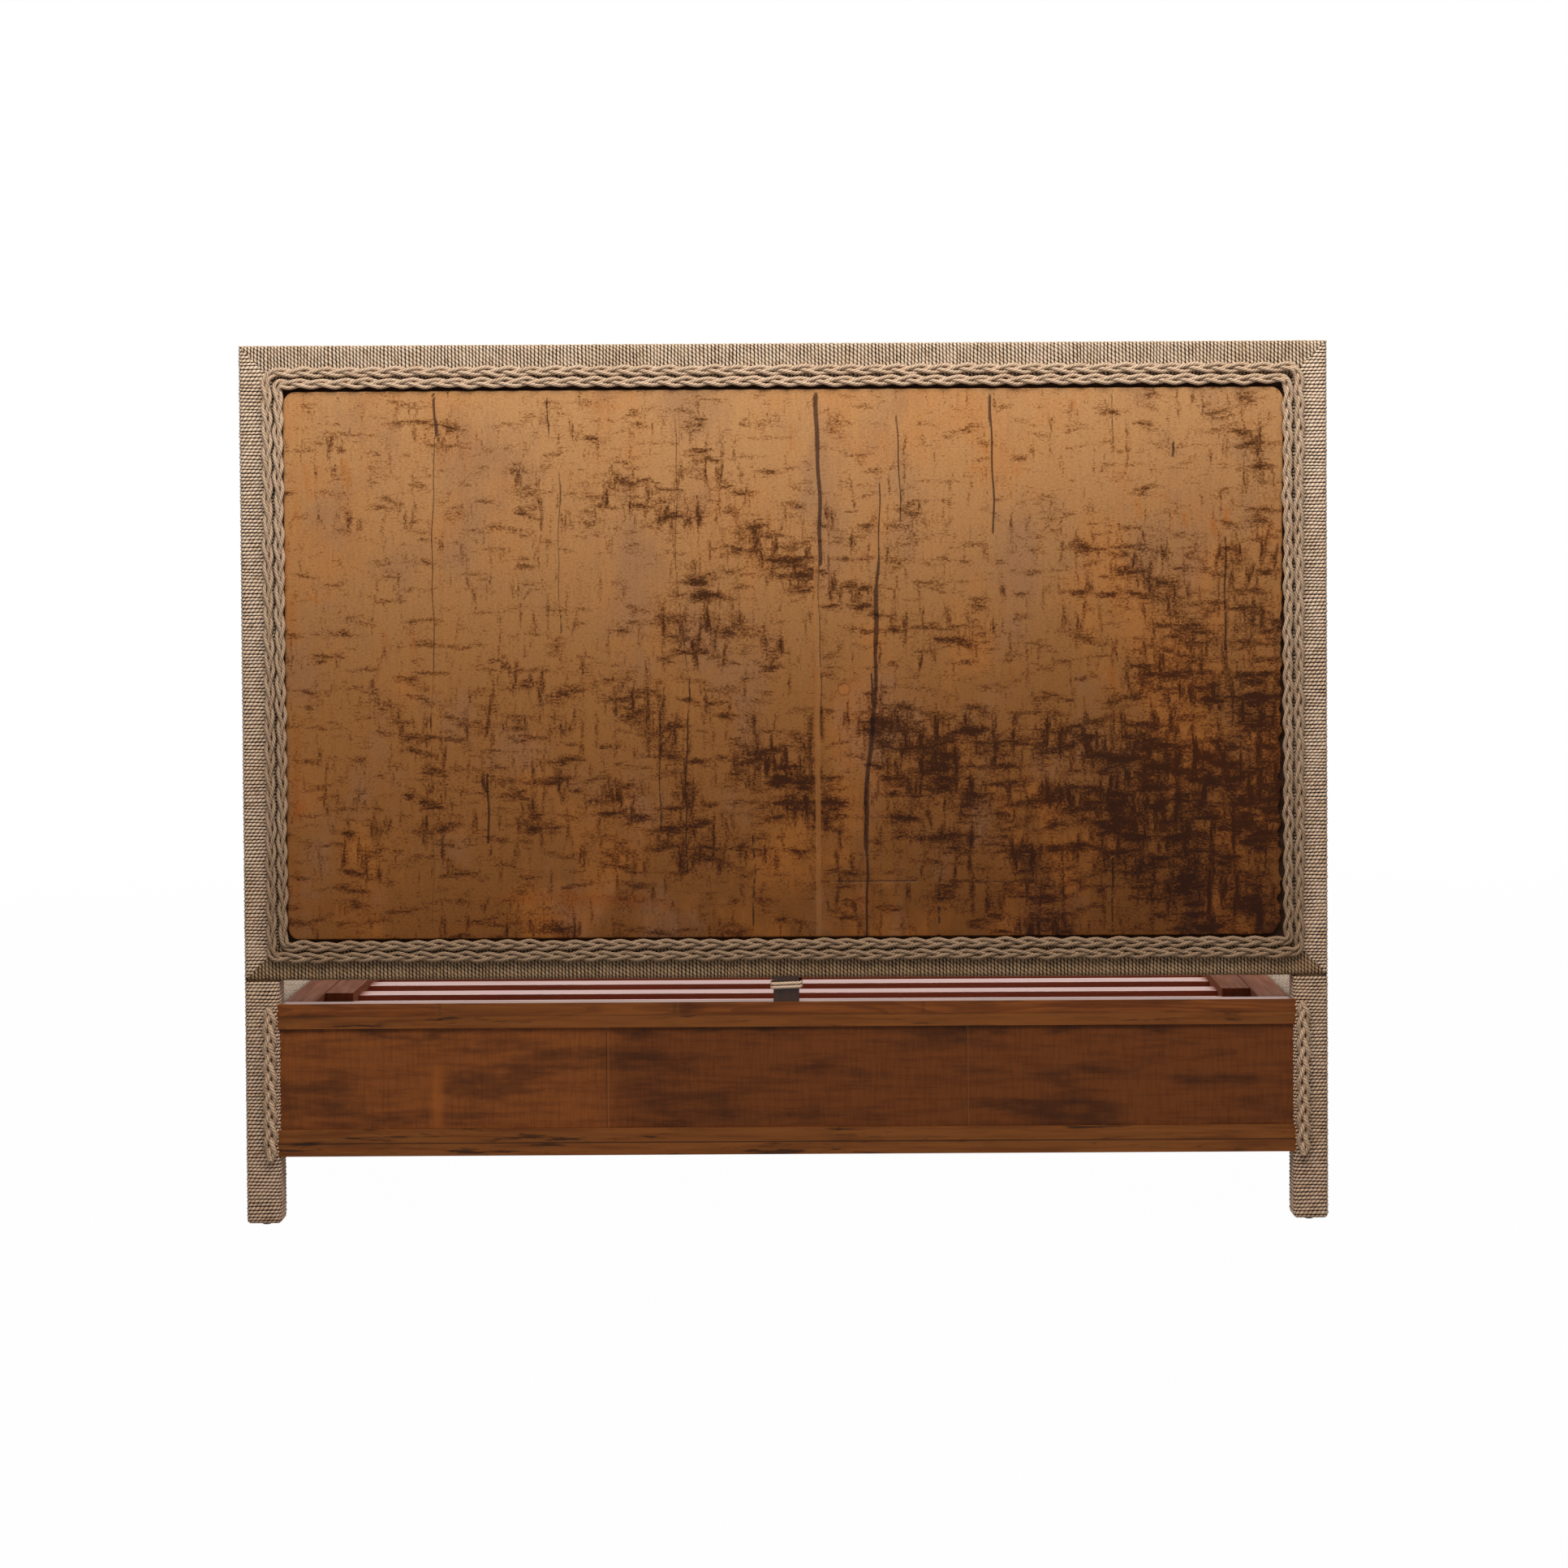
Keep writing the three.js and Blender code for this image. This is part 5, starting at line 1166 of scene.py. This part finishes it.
crossBoard = dict(
    grain=(240.0, (1.0, 1.0, 0.1), 4.0, 0.6), swirl=(90.0, (0.12, 1.0, 1.3), 4.0, 0.6),
    blur=(19.0, (0.35, 1.0, 1.5), 4.0, 0.6), spots=(40.0, (0.5, 1.0, 1.0), 3.0),
    byGrain=(0.35, 0.75, 0.0, 0.4), bySwirl=(0.42, 0.7, 0.0, 0.5), byBlur=(0.44, 0.72, 0.0, 0.72),
    topEdge=(0.27, 0.302, 0.0, 0.16), spotMix=(0.6, 0.4), bySpots=(0.6, 0.8, 0.0, 0.7),
    seams=(-0.272, 0.276), seamWide=(0.0006, 0.0018, 0.22, 0.0), far=(-0.3, -0.24),
    streakAt=-0.5306, streakWander=0.004, streakWide=(0.0, 0.016, 0.36, 0.0),
    streakUp=0.19, streakTall=(0.02, 0.08, 1.0, 0.0), rough=(0.3, 0.8, 0.38, 0.55),
    bumps=(0.6, 0.3), rise=0.4 * mm, strength=0.35,
)


def crossPanelWood():
    # fine upright grain under blurred level smoke marks
    use = crossBoard
    look = newLook("crossPanelWood", **crossColours["shader"])
    here = look.place()
    x, z = look.axis(here, 0), look.axis(here, 2)
    grain, swirl, blur, spots = (look.noise(*use[key]) for key in ("grain", "swirl", "blur", "spots"))
    colour = look.mix(look.band(grain, *use["byGrain"]), crossColours["base"], crossColours["dark"])
    colour = look.mix(look.band(swirl, *use["bySwirl"]), colour, crossColours["dark"])
    colour = look.mix(look.band(blur, *use["byBlur"]), colour, crossColours["smoke"])
    bySpot, byBlur = use["spotMix"]
    spotted = spots * bySpot + blur * byBlur + look.band(z, *use["topEdge"])
    colour = look.mix(look.band(spotted, *use["bySpots"]), colour, crossColours["smoke"])
    for across in use["seams"]:
        colour = look.mix(look.band(abs(x - across), *use["seamWide"]), colour, crossColours["light"])
    colour = look.darken(look.band(x, *use["far"]), colour, crossColours["far"])
    streak = look.band(abs(x - use["streakAt"] + blur * use["streakWander"]), *use["streakWide"])
    streak = streak * look.band(abs(z - use["streakUp"]), *use["streakTall"])
    colour = look.mix(streak, colour, crossColours["orange"])
    look.feed(Base_Color=colour, Roughness=look.band(grain, *use["rough"]))
    byGrain, byBlur = use["bumps"]
    look.bump(grain * byGrain + blur * byBlur, use["rise"], use["strength"])
    return look.owner


smallParts = dict(
    plastic=dict(
        name="glidePlastic", first=tint(30, 26, 24), second=tint(46, 40, 36), metal=0.0, gloss=0.5,
        noise=(900.0, (1, 1, 1), 2.0), rough=(0.3, 0.7, 0.42, 0.6), rise=0.2 * mm, strength=0.3),
    steel=dict(
        name="screwFootSteel", first=tint(150, 150, 148), second=tint(196, 196, 194), metal=1.0, gloss=0.35,
        noise=(400.0, (1.0, 1.0, 0.1), 3.0), rough=(0.3, 0.7, 0.28, 0.46), rise=0.1 * mm, strength=0.3),
)


def smallPartLook(settings):
    # two near shades and a little unevenness, by one noise
    look = newLook(settings["name"], Metallic=settings["metal"], Roughness=settings["gloss"])
    grain = look.noise(*settings["noise"])
    look.feed(Base_Color=look.mix(grain, settings["first"], settings["second"]),
              Roughness=look.band(grain, *settings["rough"]))
    look.bump(grain, settings["rise"], settings["strength"])
    return look.owner


finishes = dict(
    core="headboard_post_ headboard_top_rail headboard_bottom_rail side_rail_left side_rail_right "
         "foot_post_left foot_post_right foot_rail",
    board="headboard_woven_panel", plank="side_plank_ ledger_", slat="slat_", post="centre_post",
    beam="centre_beam centre_leg", crossRail="cross_rail_", crossPanel="cross_panel_",
    plastic="glide_", steel="centre_leg_foot",
)


def finishNodes():
    made = {name: timber(name + "Wood", woods[name]) for name in woods}
    made["crossRail"], made["crossPanel"] = crossRailWood(), crossPanelWood()
    made.update((name, smallPartLook(smallParts[name])) for name in smallParts)
    for finish, starts in finishes.items():
        for name, node in nodes.items():
            if not node.hide_render and name.startswith(tuple(starts.split())):
                node.data.materials.clear()
                node.data.materials.append(made[finish])
    print("woods done")


finishNodes()


# floor, background and light

studio = dict(
    floor=30.0, floorGrey=(0.4, 0.4, 0.4, 1), floorRough=0.9, floorGlow=(2.2, 6.0, 0.985, 1.0), ambient=0.2,
    key=dict(place=(0.1, -2.6, 2.95), target=(0, -1.08, 0.75), size=(3.6, 1.2), power=84.0),
    bedSide=dict(place=(0.0, 2.9, 3.0), target=(0, -0.3, 0.3), size=(4.0, 1.6), power=110.0),
)


def addLamp(name):
    settings = studio[name]
    data = bpy.data.lights.new(name, "AREA")
    data.shape = "RECTANGLE"
    data.size, data.size_y = settings["size"]
    data.energy = settings["power"]
    lamp = bpy.data.objects.new(name, data)
    lamp.location = settings["place"]
    aim = np.array(settings["target"]) - np.array(settings["place"])
    down, turned = math.atan2(math.hypot(aim[0], aim[1]), -aim[2]), math.atan2(aim[1], aim[0]) - math.pi / 2
    lamp.rotation_euler = (down, 0, turned)
    bpy.context.scene.collection.objects.link(lamp)


def whiteWorld():
    world = bpy.data.worlds.new("paleStudio")
    bpy.context.scene.world = world
    look = Look(world)
    direct = look.seenBy("Is Camera Ray", "Is Glossy Ray", "Is Transmission Ray")
    background = look.tree.nodes["Background"]
    background.inputs["Color"].default_value = white
    look.put(background.inputs["Strength"], direct * (1 - studio["ambient"]) + studio["ambient"])


def paleFloor():
    # grey to the lamps, and nearly white to the camera, so that it keeps the bed's shadow
    reach = studio["floor"]
    corners = [(-reach, -reach, 0), (reach, -reach, 0), (reach, reach, 0), (-reach, reach, 0)]
    mesh = bpy.data.meshes.new("studioFloor")
    mesh.from_pydata(corners, [], [(0, 1, 2, 3)])
    floor = bpy.data.objects.new("studioFloor", mesh)
    bpy.context.scene.collection.objects.link(floor)
    look = newLook("paleFloor", Roughness=studio["floorRough"], Specular_IOR_Level=0.0,
                   Base_Color=studio["floorGrey"])
    direct = look.seenBy("Is Camera Ray", "Is Glossy Ray")
    away = look.node("ShaderNodeVectorMath", dict(operation="LENGTH"), [look.place()], 1)
    glow = look.node("ShaderNodeEmission", {}, {"Color": white, "Strength": 1.0})
    share = direct * look.band(away, *studio["floorGlow"])
    mixed = look.node("ShaderNodeMixShader", {}, [share, Wire(look, look.shader.outputs[0]), glow])
    look.put(look.tree.nodes["Material Output"].inputs["Surface"], mixed)
    mesh.materials.append(look.owner)


whiteWorld()
paleFloor()
addLamp("key")
addLamp("bedSide")
bpy.context.scene.view_settings.view_transform = "Standard"
print("studio done")
